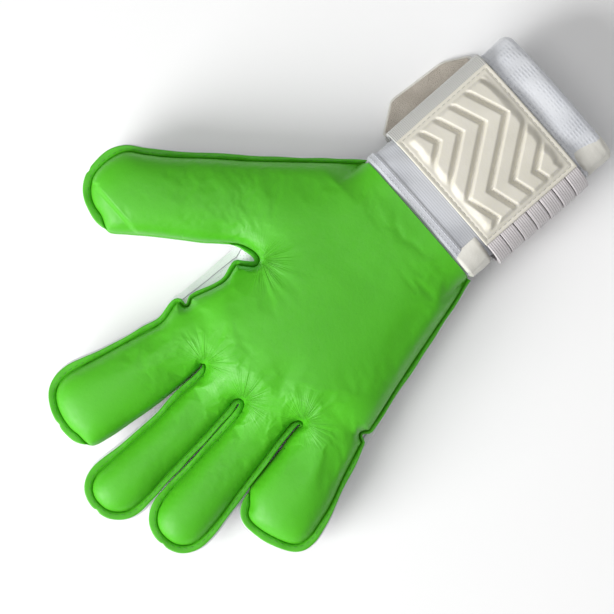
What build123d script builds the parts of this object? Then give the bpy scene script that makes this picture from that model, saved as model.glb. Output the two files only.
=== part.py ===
from build123d import *
import math
import os

# Goalkeeper glove for the right hand, lying on its back with the palm up.
# Design frame: origin at the middle of the wrist line, +X to the thumb side,
# +Y to the fingertips, +Z out of the palm.  Lengths in millimetres, angles in degrees.
# At the end everything is shifted so that the origin is the bottom centre of the whole glove.

# ---- layers of the hand, as heights above the middle plane of the fingers ----
PALM_TOP = 18.0            # crown of the latex palm
PALM_INSIDE = 11.0         # underside of the latex palm
BACKING = 2.0              # foam backing under the latex
BACK_INSIDE = -13.0        # upper face of the backhand
BACK_OUTSIDE = -16.5       # lower face of the backhand
PUNCH_BOTTOM = -18.0       # lower face of the punch panel, on which the glove lies
WALL = 4.0                 # thickness of every gusset wall
EDGE_CHAMFER = 3.0         # softened edge of the latex sheets
CLEARANCE = 0.3            # half of the parting gap at every finger hinge

# ---- plan of the palm ----
WRIST_Y = -1.0
ULNAR_EDGE = [(-37, WRIST_Y), (-39.3, 7.6), (-44.7, 25.8), (-53.2, 57.9), (-57, 75.5)]
KNUCKLE_EDGE = [(-33, 85), (-31, 92.5), (-8, 101.5), (10, 105), (42, 101)]
WEB_EDGE = [(42, 101), (39.5, 95), (40.5, 77), (34, 67.5), (42.2, 65.1)]
RADIAL_EDGE = [(69.5, 35.8), (50, 13.5), (36, WRIST_Y)]
PUNCH_PAD = [(-40, 28), (34, 28), (36, 92), (-26, 86), (-45, 70)]
PUNCH_ROUNDING = 6.0

# ---- fingers ----
HINGE_HEIGHT = 3.0         # hinge axes lie this far above the middle plane
KNUCKLE_BEND = 45.0        # largest flexion at the base of a finger
MIDDLE_BEND = 60.0         # largest flexion at its middle joint
RELIEF = 1.5               # spare angle on each side of the V-shaped flexion relief


class Stall:
    """One finger or thumb of the glove, in its own frame: x across, y along, z out of the palm."""

    def __init__(self, name, base, lean, half_width, length, knuckle, middle, inside=6.5, outside=12.5,
                 ramp=(-16.0, -4.0), tip_radius=10.0):
        self.name = name
        self.place = Location((base[0], base[1], 0), (0, 0, -lean))
        self.half_width = half_width
        self.length = length
        self.knuckle = knuckle          # distance of the base hinge from the base point
        self.middle = middle            # distance of the middle hinge from the base point
        self.inside = inside            # half height of the finger room
        self.outside = outside          # half height over the latex and the back
        self.ramp = ramp                # stretch where the palm's layers step down to the finger's
        self.tip_radius = tip_radius


STALLS = [
    Stall("index", (28.6, 116.0), 8.5, 14.0, 70.0, 8.0, 36.0),
    Stall("middle", (3.3, 117.0), -3.6, 12.0, 82.5, 8.0, 40.0, tip_radius=9.0),
    Stall("ring", (-21.7, 108.5), -10.0, 12.0, 78.5, 8.0, 38.0, tip_radius=9.0),
    Stall("little", (-46.8, 91.6), -17.0, 13.0, 61.0, 8.0, 31.0, tip_radius=9.0),
    Stall("thumb", (50.0, 45.0), 47.0, 20.0, 88.0, 24.0, 56.0, inside=8.0, outside=14.0,
          ramp=(4.0, 12.0), tip_radius=16.0),
]
FINGER_WEB_WIDTH = 3.0

# ---- wrist ----
CUFF_WIDTH = 71.5
CUFF_HEIGHT = 37.0
CUFF_MIDDLE = (0.75, 4.5)  # x and z of the cuff's axis
CUFF_CORNER = 12.0
CUFF_WALL = 4.0
HEM_START = -70.0
MOUTH_Y = -87.0
HEM_EXTRA = 1.0            # the hem stands this far proud of the cuff
TAPE_WIDTH = 4.0
TAPE_THICKNESS = 0.8

# ---- closure strap ----
STRAP_NEAR = -15.0         # edge of the strap nearest the palm
STRAP_FAR = -70.0
STRAP_GAP = 0.3            # the strap's clearance from the cuff
BAND_THICKNESS = 1.5
BAND_COUNT = 7
BAND_GAP = 0.85
PANEL_THICKNESS = 2.0
RIDGE_HEIGHT = 1.2
RIDGE_WIDTH = 3.4
RIDGE_PITCH = 9.0
PANEL_ULNAR_X = -29.0
PANEL_THUMB_X = 34.0
PEEL_HEIGHT = 1.0          # height of the hinge where the strap opens
STRAP_BOTTOM = -17.2
STRAP_FLAT_TOP = -15.9
FABRIC_TAPE = 0.8          # thickness of the hook tape and of the loop patch
STRAP_END_X = 38.5
TAB_START_X = 39.3
TAB_TIP = [(43, -17), (50.4, -28.4), (48.6, -58.5), (43, -69.5)]

CUFF_LEFT = CUFF_MIDDLE[0] - CUFF_WIDTH / 2
CUFF_RIGHT = CUFF_MIDDLE[0] + CUFF_WIDTH / 2
CUFF_TOP = CUFF_MIDDLE[1] + CUFF_HEIGHT / 2
CUFF_BOTTOM = CUFF_MIDDLE[1] - CUFF_HEIGHT / 2
UPPER_CORNER_Z = CUFF_TOP - CUFF_CORNER
LOWER_CORNER_Z = CUFF_BOTTOM + CUFF_CORNER
LEFT_CORNER_X = CUFF_LEFT + CUFF_CORNER
RIGHT_CORNER_X = CUFF_RIGHT - CUFF_CORNER

nodes = {}


# ---- helpers ----
def slab(face, low, high):
    """A plan face raised between two heights."""
    return Pos(0, 0, low) * extrude(face, high - low)


def polygon(points):
    return make_face(Polyline(*points, close=True))


def across(face_points, x_low, x_high):
    """A lengthwise section, as (y, z) points, extruded across from x_low to x_high."""
    section = Plane.YZ * polygon(face_points)
    return Pos(x_low, 0, 0) * extrude(section, x_high - x_low)


def along(section, y_low, y_high):
    """A cross section in the XZ plane extruded along Y."""
    return Pos(0, y_high, 0) * extrude(Plane.XZ * section, y_high - y_low)


def block(x_low, x_high, y_low, y_high, z_low, z_high):
    return Pos(x_low, y_low, z_low) * Box(
        x_high - x_low, y_high - y_low, z_high - z_low, align=(Align.MIN, Align.MIN, Align.MIN))


def edge_wall(path):
    """A gusset wall that follows an edge of the palm, on its inner side."""
    strip = make_face(offset(Polyline(*path), amount=WALL, kind=Kind.INTERSECTION, side=Side.RIGHT))
    return slab(strip, BACK_INSIDE, PALM_INSIDE)


# ---- fingers, each in its own frame ----
def flexion_relief(position, bend):
    """The space cleared at a hinge: a V towards the palm side and a thin parting below it."""
    reach = 40.0
    spread = reach * math.tan(math.radians(bend / 2 + RELIEF))
    top = HINGE_HEIGHT + reach
    wedge = across([(position, HINGE_HEIGHT), (position + spread, top), (position - spread, top)], -reach, reach)
    parting = block(-reach, reach, position - CLEARANCE, position + CLEARANCE, -reach, top)
    return wedge + parting


def latex_section(stall):
    width, low, high = stall.half_width, stall.inside, stall.outside
    soft = EDGE_CHAMFER
    return polygon([(-width, low), (width, low), (width, high - soft), (width - 1.4 * soft, high),
                    (1.4 * soft - width, high), (-width, high - soft)])


def back_section(stall):
    return mirror(latex_section(stall), about=Plane.XZ)


def tip_plan(stall, inset=0.0):
    """Plan of the finger from its middle hinge to its rounded end."""
    width = stall.half_width - inset
    end = stall.length - inset
    radius = stall.tip_radius - inset
    body = Rectangle(2 * width, end, align=(Align.CENTER, Align.MIN))
    far_corners = body.vertices().group_by(Axis.Y)[-1]
    return fillet(far_corners, radius)


def side_strips(stall, start, end):
    """The two gusset strips of a straight stretch of finger."""
    width = stall.half_width
    outer = width - WALL
    return [block(low, low + WALL, start, end, -stall.inside, stall.inside) for low in (-width, outer)]


def finger_pieces(stall):
    """The six pieces beyond the base hinge, cut apart at the middle hinge."""
    cleared = flexion_relief(stall.knuckle, KNUCKLE_BEND) + flexion_relief(stall.middle, MIDDLE_BEND)
    whole = slab(tip_plan(stall), -stall.outside, stall.outside)
    beyond = block(-60, 60, stall.middle, stall.length + 1, -40, 40)
    ring = slab(tip_plan(stall) - tip_plan(stall, WALL), -stall.inside, stall.inside)
    sections = {"latex": latex_section(stall), "back": back_section(stall)}
    for layer, section in sections.items():
        base = along(section, stall.knuckle, stall.middle) - cleared
        tip = (along(section, stall.middle, stall.length) & whole) - cleared
        nodes[f"{stall.name}_base_{layer}"] = stall.place * base
        nodes[f"{stall.name}_tip_{layer}"] = stall.place * tip
    strips = Part() + side_strips(stall, stall.knuckle, stall.middle)
    nodes[f"{stall.name}_base_gusset"] = stall.place * (strips - cleared)
    nodes[f"{stall.name}_tip_gusset"] = stall.place * ((ring & beyond) - cleared)


def stub(stall, palm_low, palm_high, low, high):
    """One layer of the palm or backhand where it steps down to a finger's height and meets its hinge."""
    start, level = stall.ramp
    profile = [(start, palm_low), (level, low), (stall.knuckle, low),
               (stall.knuckle, high), (level, high), (start, palm_high)]
    wide = stall.half_width + 1.5
    ramp = across(profile, -wide, wide) & block(-wide, wide, start, level + 3, -40, 40)
    shank = across(profile, -stall.half_width, stall.half_width)
    return stall.place * ((ramp + shank) - flexion_relief(stall.knuckle, KNUCKLE_BEND))


def stub_wall(stall, side):
    """The gusset wall of the palm beside a finger's or the thumb's root; side is +1 towards the thumb."""
    start, level = stall.ramp
    profile = [(start, BACK_INSIDE), (level, -stall.inside), (stall.knuckle, -stall.inside),
               (stall.knuckle, stall.inside), (level, stall.inside), (start, PALM_INSIDE)]
    outer = side * stall.half_width
    inner = side * (stall.half_width - WALL)
    wall = across(profile, min(inner, outer), max(inner, outer))
    return stall.place * (wall - flexion_relief(stall.knuckle, KNUCKLE_BEND))


def finger_web(stall):
    """The gusset web between a finger's root and the next finger towards the thumb."""
    low = stall.half_width - WALL
    post = block(low, low + FINGER_WEB_WIDTH, -4, stall.knuckle, -stall.inside, stall.inside)
    return stall.place * (post - flexion_relief(stall.knuckle, KNUCKLE_BEND))


# ---- hand ----
def hand_pieces():
    index, middle, ring, little, thumb = STALLS
    plan = polygon(ULNAR_EDGE + KNUCKLE_EDGE + WEB_EDGE[1:] + RADIAL_EDGE)

    palm = slab(plan, PALM_INSIDE, PALM_TOP)
    palm = chamfer(palm.edges().group_by(Axis.Z)[-1], EDGE_CHAMFER)
    back = slab(plan, BACK_OUTSIDE, BACK_INSIDE)
    for stall in STALLS:
        palm += stub(stall, PALM_INSIDE, PALM_TOP - EDGE_CHAMFER, stall.inside, stall.outside)
        back += stub(stall, BACK_OUTSIDE, BACK_INSIDE, -stall.outside, -stall.inside)
    nodes["palm_latex"] = palm
    nodes["backhand"] = back

    lining_plan = offset(plan, amount=-WALL - 1, kind=Kind.INTERSECTION)
    nodes["palm_backing"] = slab(lining_plan, PALM_INSIDE - BACKING, PALM_INSIDE) - palm

    pad_plan = polygon(PUNCH_PAD)
    pad_plan = fillet(pad_plan.vertices(), PUNCH_ROUNDING)
    nodes["punch_panel"] = slab(pad_plan, PUNCH_BOTTOM, BACK_OUTSIDE)

    layers = palm + back
    nodes["ulnar_gusset"] = edge_wall(ULNAR_EDGE) + stub_wall(little, -1) - layers
    nodes["radial_gusset"] = edge_wall(RADIAL_EDGE) + stub_wall(thumb, 1) - layers
    nodes["web_gusset"] = edge_wall(WEB_EDGE) + stub_wall(thumb, -1) + stub_wall(index, 1) - layers
    nodes["finger_webs"] = Part() + [finger_web(stall) for stall in (middle, ring, little)]


# ---- wrist ----
def cuff_ring(grow, wall):
    """Cross section of a tube that stands proud of the cuff by grow, with the given wall."""
    outer = RectangleRounded(CUFF_WIDTH + 2 * grow, CUFF_HEIGHT + 2 * grow, CUFF_CORNER + grow)
    shrink = grow - wall
    inner = RectangleRounded(CUFF_WIDTH + 2 * shrink, CUFF_HEIGHT + 2 * shrink, CUFF_CORNER + shrink)
    return Pos(CUFF_MIDDLE[0], CUFF_MIDDLE[1]) * (outer - inner)


def wrist_pieces():
    tube = along(cuff_ring(0, CUFF_WALL), HEM_START, WRIST_Y)
    split = CUFF_MIDDLE[1]
    nodes["cuff_palm_side"] = tube & block(-60, 60, -100, 10, split, 60)
    nodes["cuff_back_side"] = tube & block(-60, 60, -100, 10, -60, split)
    nodes["cuff_hem"] = along(cuff_ring(HEM_EXTRA, CUFF_WALL + HEM_EXTRA), MOUTH_Y, HEM_START)
    nodes["wrist_tape"] = along(cuff_ring(TAPE_THICKNESS, TAPE_THICKNESS), WRIST_Y - TAPE_WIDTH, WRIST_Y)
    nodes["loop_patch"] = block(-8, 31, STRAP_FAR + 4, STRAP_NEAR - 4, CUFF_BOTTOM - FABRIC_TAPE, CUFF_BOTTOM)
    trim_low, trim_high = split - 4, split + 4
    near_wrist = block(CUFF_LEFT - 1.4, CUFF_LEFT, -13, WRIST_Y - TAPE_WIDTH, trim_low, trim_high)
    hem_left = CUFF_LEFT - HEM_EXTRA
    at_mouth = block(hem_left - 1.2, hem_left, MOUTH_Y, HEM_START - 1.5, trim_low, trim_high)
    nodes["seam_trim"] = near_wrist + at_mouth


# ---- strap ----
def corner_band(centre, inner_radius, thickness, start_angle, sweep):
    """Cross section of a band bent round one corner of the cuff, in the XZ plane."""
    outer_radius = inner_radius + thickness
    arc_in = CenterArc(centre, inner_radius, start_angle, sweep)
    arc_out = CenterArc(centre, outer_radius, start_angle, sweep)
    return make_face([arc_in, arc_out, Line(arc_in @ 0, arc_out @ 0), Line(arc_in @ 1, arc_out @ 1)])


def zigzag_ridge(offset_y):
    """One raised ridge that runs across the panel as a Z: level, slanted, level."""
    centre = (PANEL_ULNAR_X + PANEL_THUMB_X) / 2
    reach = (PANEL_THUMB_X - PANEL_ULNAR_X) / 2 - 5
    step = RIDGE_PITCH
    path = [(centre - reach, offset_y + step), (centre - 9, offset_y + step),
            (centre + 9, offset_y - step), (centre + reach, offset_y - step)]
    strip = make_face(offset(Polyline(*path), amount=RIDGE_WIDTH, kind=Kind.INTERSECTION, side=Side.LEFT))
    return strip


def strap_front_pieces():
    base_low = CUFF_TOP + STRAP_GAP
    base_high = base_low + BAND_THICKNESS
    panel_top = base_high + PANEL_THICKNESS
    nodes["strap_base"] = block(LEFT_CORNER_X, PANEL_THUMB_X, STRAP_FAR, STRAP_NEAR, base_low, base_high)

    panel = block(PANEL_ULNAR_X, PANEL_THUMB_X, STRAP_FAR, STRAP_NEAR, base_high, panel_top)
    frame = block(PANEL_ULNAR_X + 4, PANEL_THUMB_X - 4, STRAP_FAR + 4, STRAP_NEAR - 4,
                  panel_top - 0.01, panel_top + RIDGE_HEIGHT)
    middle_y = (STRAP_FAR + STRAP_NEAR) / 2
    for row in (-1.5, -0.5, 0.5, 1.5):
        ridge = slab(zigzag_ridge(middle_y + row * RIDGE_PITCH), panel_top - 0.01, panel_top + RIDGE_HEIGHT)
        panel += ridge & frame
    nodes["strap_panel"] = panel

    centre = (LEFT_CORNER_X, UPPER_CORNER_Z)
    radius = CUFF_CORNER + STRAP_GAP
    bend = corner_band(centre, radius, BAND_THICKNESS, 90, 90)
    left = LEFT_CORNER_X - radius - BAND_THICKNESS
    drop = Pos(left, PEEL_HEIGHT + CLEARANCE) * Rectangle(
        BAND_THICKNESS, UPPER_CORNER_Z - PEEL_HEIGHT - CLEARANCE, align=(Align.MIN, Align.MIN))
    section = bend + drop
    pitch = (STRAP_NEAR - STRAP_FAR + BAND_GAP) / BAND_COUNT
    bands = []
    for number in range(BAND_COUNT):
        start = STRAP_FAR + number * pitch
        bands.append(along(section, start, start + pitch - BAND_GAP))
    nodes["elastic_bands"] = Part() + bands

    binding = corner_band((RIGHT_CORNER_X, UPPER_CORNER_Z), CUFF_CORNER, BAND_THICKNESS, 8, 52)
    nodes["strap_edge_binding"] = along(binding, STRAP_FAR, STRAP_NEAR)


def strap_back_pieces():
    left = LEFT_CORNER_X - CUFF_CORNER - STRAP_GAP - BAND_THICKNESS
    inner_left = left + BAND_THICKNESS
    top = PEEL_HEIGHT - CLEARANCE
    inner_low = CUFF_BOTTOM - STRAP_GAP
    outer_radius = 15.0
    outer_turn = STRAP_BOTTOM + outer_radius
    half = math.sqrt(0.5)
    inner_radius = CUFF_CORNER + STRAP_GAP
    outer_mid = (left + outer_radius * (1 - half), outer_turn - outer_radius * half)
    inner_mid = (LEFT_CORNER_X - inner_radius * half, LOWER_CORNER_Z - inner_radius * half)
    step_x = LEFT_CORNER_X + 3
    outline = [
        Line((left, top), (left, outer_turn)),
        ThreePointArc((left, outer_turn), outer_mid, (left + outer_radius, STRAP_BOTTOM)),
        Polyline((left + outer_radius, STRAP_BOTTOM), (STRAP_END_X, STRAP_BOTTOM),
                 (STRAP_END_X, STRAP_FLAT_TOP), (step_x, STRAP_FLAT_TOP), (step_x, inner_low),
                 (LEFT_CORNER_X, inner_low)),
        ThreePointArc((LEFT_CORNER_X, inner_low), inner_mid, (inner_left, LOWER_CORNER_Z)),
        Polyline((inner_left, LOWER_CORNER_Z), (inner_left, top), (left, top)),
    ]
    nodes["strap_back"] = along(make_face(outline), STRAP_FAR, STRAP_NEAR)
    hook_top = STRAP_FLAT_TOP + FABRIC_TAPE
    nodes["hook_tape"] = block(-8, 35, STRAP_FAR + 4, STRAP_NEAR - 4, STRAP_FLAT_TOP, hook_top)

    tab_plan = polygon([(TAB_START_X, STRAP_NEAR - 1)] + TAB_TIP + [(TAB_START_X, STRAP_FAR + 1)])
    nodes["tab_shell"] = slab(tab_plan, STRAP_BOTTOM, STRAP_FLAT_TOP)
    nodes["tab_hook_tape"] = slab(offset(tab_plan, amount=-1.5, kind=Kind.INTERSECTION), STRAP_FLAT_TOP, hook_top)


def main():
    for stall in STALLS:
        finger_pieces(stall)
    hand_pieces()
    wrist_pieces()
    strap_front_pieces()
    strap_back_pieces()

    boxes = [shape.bounding_box() for shape in nodes.values()]
    middle_x = (min(box.min.X for box in boxes) + max(box.max.X for box in boxes)) / 2
    middle_y = (min(box.min.Y for box in boxes) + max(box.max.Y for box in boxes)) / 2
    to_origin = Pos(-middle_x, -middle_y, -min(box.min.Z for box in boxes))
    print("shift to the bottom centre", to_origin.position)
    os.makedirs("parts", exist_ok=True)
    for name, shape in nodes.items():
        export_step(to_origin * shape, f"parts/{name}.step")


main()
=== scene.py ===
import math

import bpy
import numpy as np
from mathutils import Matrix, Vector, geometry


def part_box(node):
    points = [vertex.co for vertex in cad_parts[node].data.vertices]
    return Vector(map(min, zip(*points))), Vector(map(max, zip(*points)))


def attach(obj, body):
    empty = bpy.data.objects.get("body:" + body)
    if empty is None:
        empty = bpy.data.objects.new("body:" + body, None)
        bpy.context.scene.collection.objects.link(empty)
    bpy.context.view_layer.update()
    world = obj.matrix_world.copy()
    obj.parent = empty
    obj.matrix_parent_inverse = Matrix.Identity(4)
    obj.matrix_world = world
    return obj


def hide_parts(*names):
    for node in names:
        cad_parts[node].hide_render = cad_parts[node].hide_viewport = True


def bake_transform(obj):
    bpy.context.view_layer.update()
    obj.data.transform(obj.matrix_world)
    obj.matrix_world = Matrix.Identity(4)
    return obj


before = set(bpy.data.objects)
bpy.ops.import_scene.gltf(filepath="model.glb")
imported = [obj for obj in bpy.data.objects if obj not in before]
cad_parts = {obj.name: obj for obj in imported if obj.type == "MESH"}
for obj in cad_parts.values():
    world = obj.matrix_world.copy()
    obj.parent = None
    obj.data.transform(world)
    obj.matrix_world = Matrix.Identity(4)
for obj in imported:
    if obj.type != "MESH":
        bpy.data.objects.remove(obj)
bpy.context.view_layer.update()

# A right-hand goalkeeper glove, palm up.  Shapes are worked out in the design frame: millimetres,
# origin at the middle of the wrist line, +X to the thumb side, +Y to the fingertips, +Z out of the palm.
MM = 0.001
tape_low, tape_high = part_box("wrist_tape")
pad_low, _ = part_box("punch_panel")
CUFF_CENTRE = np.array([0.75, 4.2])
FLOOR_DEPTH = 18.0         # the floor lies this far under the design frame's origin
ORIGIN = np.array([(tape_low.x + tape_high.x) / 2 - CUFF_CENTRE[0] * MM, tape_high.y + 1.0 * MM,
                   pad_low.z + FLOOR_DEPTH * MM])

# ---- heights ----
SEAM_Z = 4.0               # seam between the latex and the gussets
BACK_SEAM_Z = -4.5         # seam between the gussets and the backhand
FRONT_FULLNESS = 23.0      # how far the filled palm can rise over its seam
BACK_FULLNESS = 12.0
WRIST_Y = -1.0
WRIST_BLEND = 18.0         # the palm takes the cuff's roundness over this length
CLOTH_CAP = 1.0            # the cloth pass moves no point further than this

# ---- cuff ----
CUFF_HALF_WIDTH = 35.8
CUFF_HALF_HEIGHT = 18.4
CUFF_POWER = 3.1
STRAP_NEAR = -15.0
STRAP_FAR = -70.0
PANEL_ULNAR_X = -29.5
PANEL_THUMB_X = 33.6

# ---- outline of the rim, anticlockwise from the wrist's thumb end ----
ROLLED = 0.0               # the latex is rolled over the side: no raw edge shows


class Stall:
    """A finger or the thumb, with its own frame: u along it, v across it to the thumb side."""

    def __init__(self, base, lean, split, bend_lean, bend_length):
        angle = math.radians(lean)
        self.base = np.array(base)
        self.along = np.array([math.sin(angle), math.cos(angle)])
        self.across = np.array([math.cos(angle), -math.sin(angle)])
        self.split = split              # u where the base piece ends and the tip piece starts
        self.bend_lean = bend_lean      # direction in which the knuckle would bend; no bend is made here
        self.bend_length = bend_length

    def plan(self, u, v):
        return self.base + self.along * u + self.across * v

    def local(self, points):
        rel = np.asarray(points) - self.base
        return rel @ self.along, rel @ self.across


STALLS = {
    "thumb": Stall((50.0, 45.0), 47.0, 40.0, 47.0, 19.0),
    "index": Stall((28.6, 116.0), 8.5, 24.0, 12.0, 17.0),
    "middle": Stall((3.3, 117.0), -3.6, 25.0, -3.6, 15.0),
    "ring": Stall((-21.7, 108.5), -10.0, 26.0, -22.0, 15.0),
    "little": Stall((-46.8, 91.6), -17.0, 20.5, -26.0, 12.0),
}
MID_HINGE = {"thumb": 56.0, "index": 36.0, "middle": 40.0, "ring": 38.0, "little": 31.0}
MID_BEND = 10.5            # the middle joint's bend would reach this far to each side of its hinge; no bend is made here


def stall_points(name, width, points):
    return [(*STALLS[name].plan(u, v), width) for u, v in points]


def outline_points():
    """(x, y, rim width) along the palm side's outer edge; where the back differs, its x and y too."""
    points = [(35.9, -1.0, 1.6), (41.8, 4.9, 2.0), (49.9, 13.3, 2.2), (61.6, 25.8, 2.4)]
    points += stall_points("thumb", 2.6, [(12.6, 20.9), (30, 20.3)])
    points += stall_points("thumb", 3.2, [(49.4, 19.6), (60, 19.7), (70.3, 20.1)])
    points += stall_points("thumb", 3.8, [(77.5, 17.2), (82.5, 12.7), (86.8, 6.3), (88.1, -0.4),
                                          (87.2, -6.6), (84.7, -11.6), (80.5, -16.6)])
    points += stall_points("thumb", ROLLED, [(74.1, -20.2), (66, -20.3), (54.8, -20.1), (43, -20.3),
                                             (31.6, -20.7)])
    points += [(45.9, 70.6, 1.4, 46.4, 70.6), (42.1, 69.3, 2.2, 46.0, 72.0), (37.6, 68.4, 2.4, 45.8, 73.4),
               (35.8, 69.1, 2.6, 45.7, 74.4), (37.6, 71.4, 2.4, 45.7, 75.6), (41.8, 75.7, 2.2, 45.7, 78.0),
               (41.3, 78.9, 2.2, 45.8, 81.0), (39.7, 84.8, 2.2, 46.0, 86.5), (40.7, 90.8, 2.2, 46.2, 92.0),
               (43.2, 99.3, 2.0, 46.4, 99.3), (43.5, 102.6, 1.8, 46.5, 102.6),
               (41.9, 105.8, 1.8, 46.6, 104.6), (45.0, 106.0, 1.8, 46.8, 106.4),
               (46.9, 108.4, 2.2, 47.2, 108.4)]
    points += stall_points("index", 2.8, [(6, 16.0), (15.4, 16.5), (34.7, 17.9)])
    points += stall_points("index", 3.6, [(46.2, 19.7), (54, 20.3), (60.1, 19.3), (64.9, 16.9), (68.3, 13.2),
                                          (70.9, 7), (71.7, -0.3), (71.1, -6.5), (69.2, -11.8)])
    points += stall_points("index", ROLLED, [(63.8, -16.6), (55, -17.6), (42.7, -17.3), (33, -17),
                                             (23, -16.2)])
    points += [(15.6, 130, ROLLED), (15.5, 119.6, 0.6), (15.2, 119.0, 1.2), (14.9, 119.6, 2.2)]
    points += stall_points("middle", 3.0, [(6.3, 11.7), (14.3, 12.1), (23.3, 12.1), (32.3, 11.7),
                                           (53.6, 13.0)])
    points += stall_points("middle", 3.7, [(64, 14.3), (70.1, 14.5), (76, 13.0), (80.2, 10.0), (82.9, 5),
                                           (83.5, -0.8), (82.2, -6.5), (78.8, -11.1), (74.3, -14.3),
                                           (69.1, -15.7)])
    points += stall_points("middle", 3.0, [(60, -15.3), (51.8, -14.7), (40, -14.4), (27.5, -14.2),
                                           (6, -13.0)])
    points += [(-8.75, 118.3, 2.4), (-9.1, 117.8, 2.0), (-9.45, 118.3, 2.4)]
    points += stall_points("ring", 3.0, [(11.3, 13.5), (22, 13.9), (33, 14.7), (45, 15.5), (57.3, 16.5)])
    points += stall_points("ring", 3.7, [(66, 16.7), (71.6, 15.0), (76.2, 11.6), (79.2, 6.6), (80.1, 0.8),
                                         (79.5, -4.2), (77.2, -8.8), (73, -12.6), (67.7, -14.6)])
    points += stall_points("ring", 3.0, [(55, -14.7), (41.2, -14.1), (18.1, -13.6), (6, -13.3)])
    points += [(-34.45, 103.4, 2.2), (-34.8, 102.9, 1.3), (-35.15, 103.4, 0.6), (-36.9, 112, ROLLED)]
    points += stall_points("little", ROLLED, [(22, 15.5), (33, 17.1), (44, 18.6)])
    points += stall_points("little", 3.6, [(51.5, 18.6), (57.0, 16.5), (60.3, 12.5), (61.6, 7), (61.8, 0),
                                           (60.5, -9.9), (58.6, -14.4), (55.6, -17.5), (50, -19.8),
                                           (42.5, -20.3)])
    points += stall_points("little", 2.4, [(31, -19), (20, -17.6), (8, -16.6)])
    points += [(-62.4, 88.8, 2.0), (-61.0, 86.0, 1.8, -62.0, 86.4), (-57.8, 84.6, 1.8, -61.4, 84.4),
               (-59.6, 81.2, 1.8, -60.6, 81.4), (-58.9, 77.0, 2.0),
               (-53.4, 57.9, 2.2), (-49.0, 41.5, 2.2), (-44.7, 25.8, 2.0), (-39.9, 8.6, 1.8),
               (-36.9, 0.0, 1.6)]
    return points


# ---- general helpers ----
def placed(x, y, z):
    """A scene point, in metres, from a design-frame point."""
    return Vector((np.array([x, y, z]) * MM + ORIGIN).tolist())


def at(plan, z=3.0):
    """The same, from a plan point."""
    return placed(plan[0], plan[1], z)


def smoothstep(t):
    t = np.clip(t, 0.0, 1.0)
    return t * t * (3 - 2 * t)


def walk(points):
    """Length walked along a polyline at each of its points."""
    return np.concatenate([[0], np.cumsum(np.linalg.norm(np.diff(points, axis=0), axis=1))])


def dome(share):
    """A quarter circle's rise, from 0 at its edge to 1 where the share is 1."""
    return np.sqrt(np.clip(1 - (1 - np.clip(share, 0, 1)) ** 2, 0, 1))


def catmull_rom(control, spacing):
    """Evenly spaced samples of a smooth open curve through the control rows; columns after y ride along."""
    control = np.asarray(control, float)
    padded = np.vstack([2 * control[0] - control[1], control, 2 * control[-1] - control[-2]])
    samples = []
    for a, b, c, d in zip(padded, padded[1:], padded[2:], padded[3:]):
        ta = np.linalg.norm((b - a)[:2]) ** 0.5
        tb = np.linalg.norm((c - b)[:2]) ** 0.5
        tc = np.linalg.norm((d - c)[:2]) ** 0.5
        m1 = (c - b + tb * ((b - a) / ta - (c - a) / (ta + tb)))
        m2 = (c - b + tb * ((d - c) / tc - (d - b) / (tb + tc)))
        for t in np.linspace(0, 1, 24, endpoint=False):
            samples.append((2 * t**3 - 3 * t**2 + 1) * b + (t**3 - 2 * t**2 + t) * m1
                           + (3 * t**2 - 2 * t**3) * c + (t**3 - t**2) * m2)
    samples.append(control[-1])
    samples = np.array(samples)
    walked = walk(samples[:, :2])
    count = int(round(walked[-1] / spacing)) + 1
    wanted = np.linspace(0, walked[-1], count)
    return np.column_stack([np.interp(wanted, walked, column) for column in samples.T])


def distance_to(points, line, closed=True):
    """Distance from each plan point to a polyline."""
    start = line
    end = np.roll(line, -1, axis=0)
    if not closed:
        start, end = line[:-1], line[1:]
    span = end - start
    length2 = (span**2).sum(1) + 1e-12
    best = np.full(len(points), 1e9)
    size = max(1, 400000 // len(start))
    for first in range(0, len(points), size):
        rel_x = points[first:first + size, 0, None] - start[:, 0]
        rel_y = points[first:first + size, 1, None] - start[:, 1]
        t = np.clip((rel_x * span[:, 0] + rel_y * span[:, 1]) / length2, 0, 1)
        gap2 = (rel_x - t * span[:, 0]) ** 2 + (rel_y - t * span[:, 1]) ** 2
        best[first:first + size] = np.sqrt(gap2.min(1))
    return best


def inside(points, loop):
    """True for each plan point within the closed loop."""
    result = np.zeros(len(points), bool)
    x, y = points.T
    for (x0, y0), (x1, y1) in zip(loop, np.roll(loop, -1, axis=0)):
        crosses = (y0 > y) != (y1 > y)
        if crosses.any():
            at = x0 + (y[crosses] - y0) * (x1 - x0) / (y1 - y0)
            result[np.flatnonzero(crosses)[x[crosses] < at]] ^= True
    return result


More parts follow.
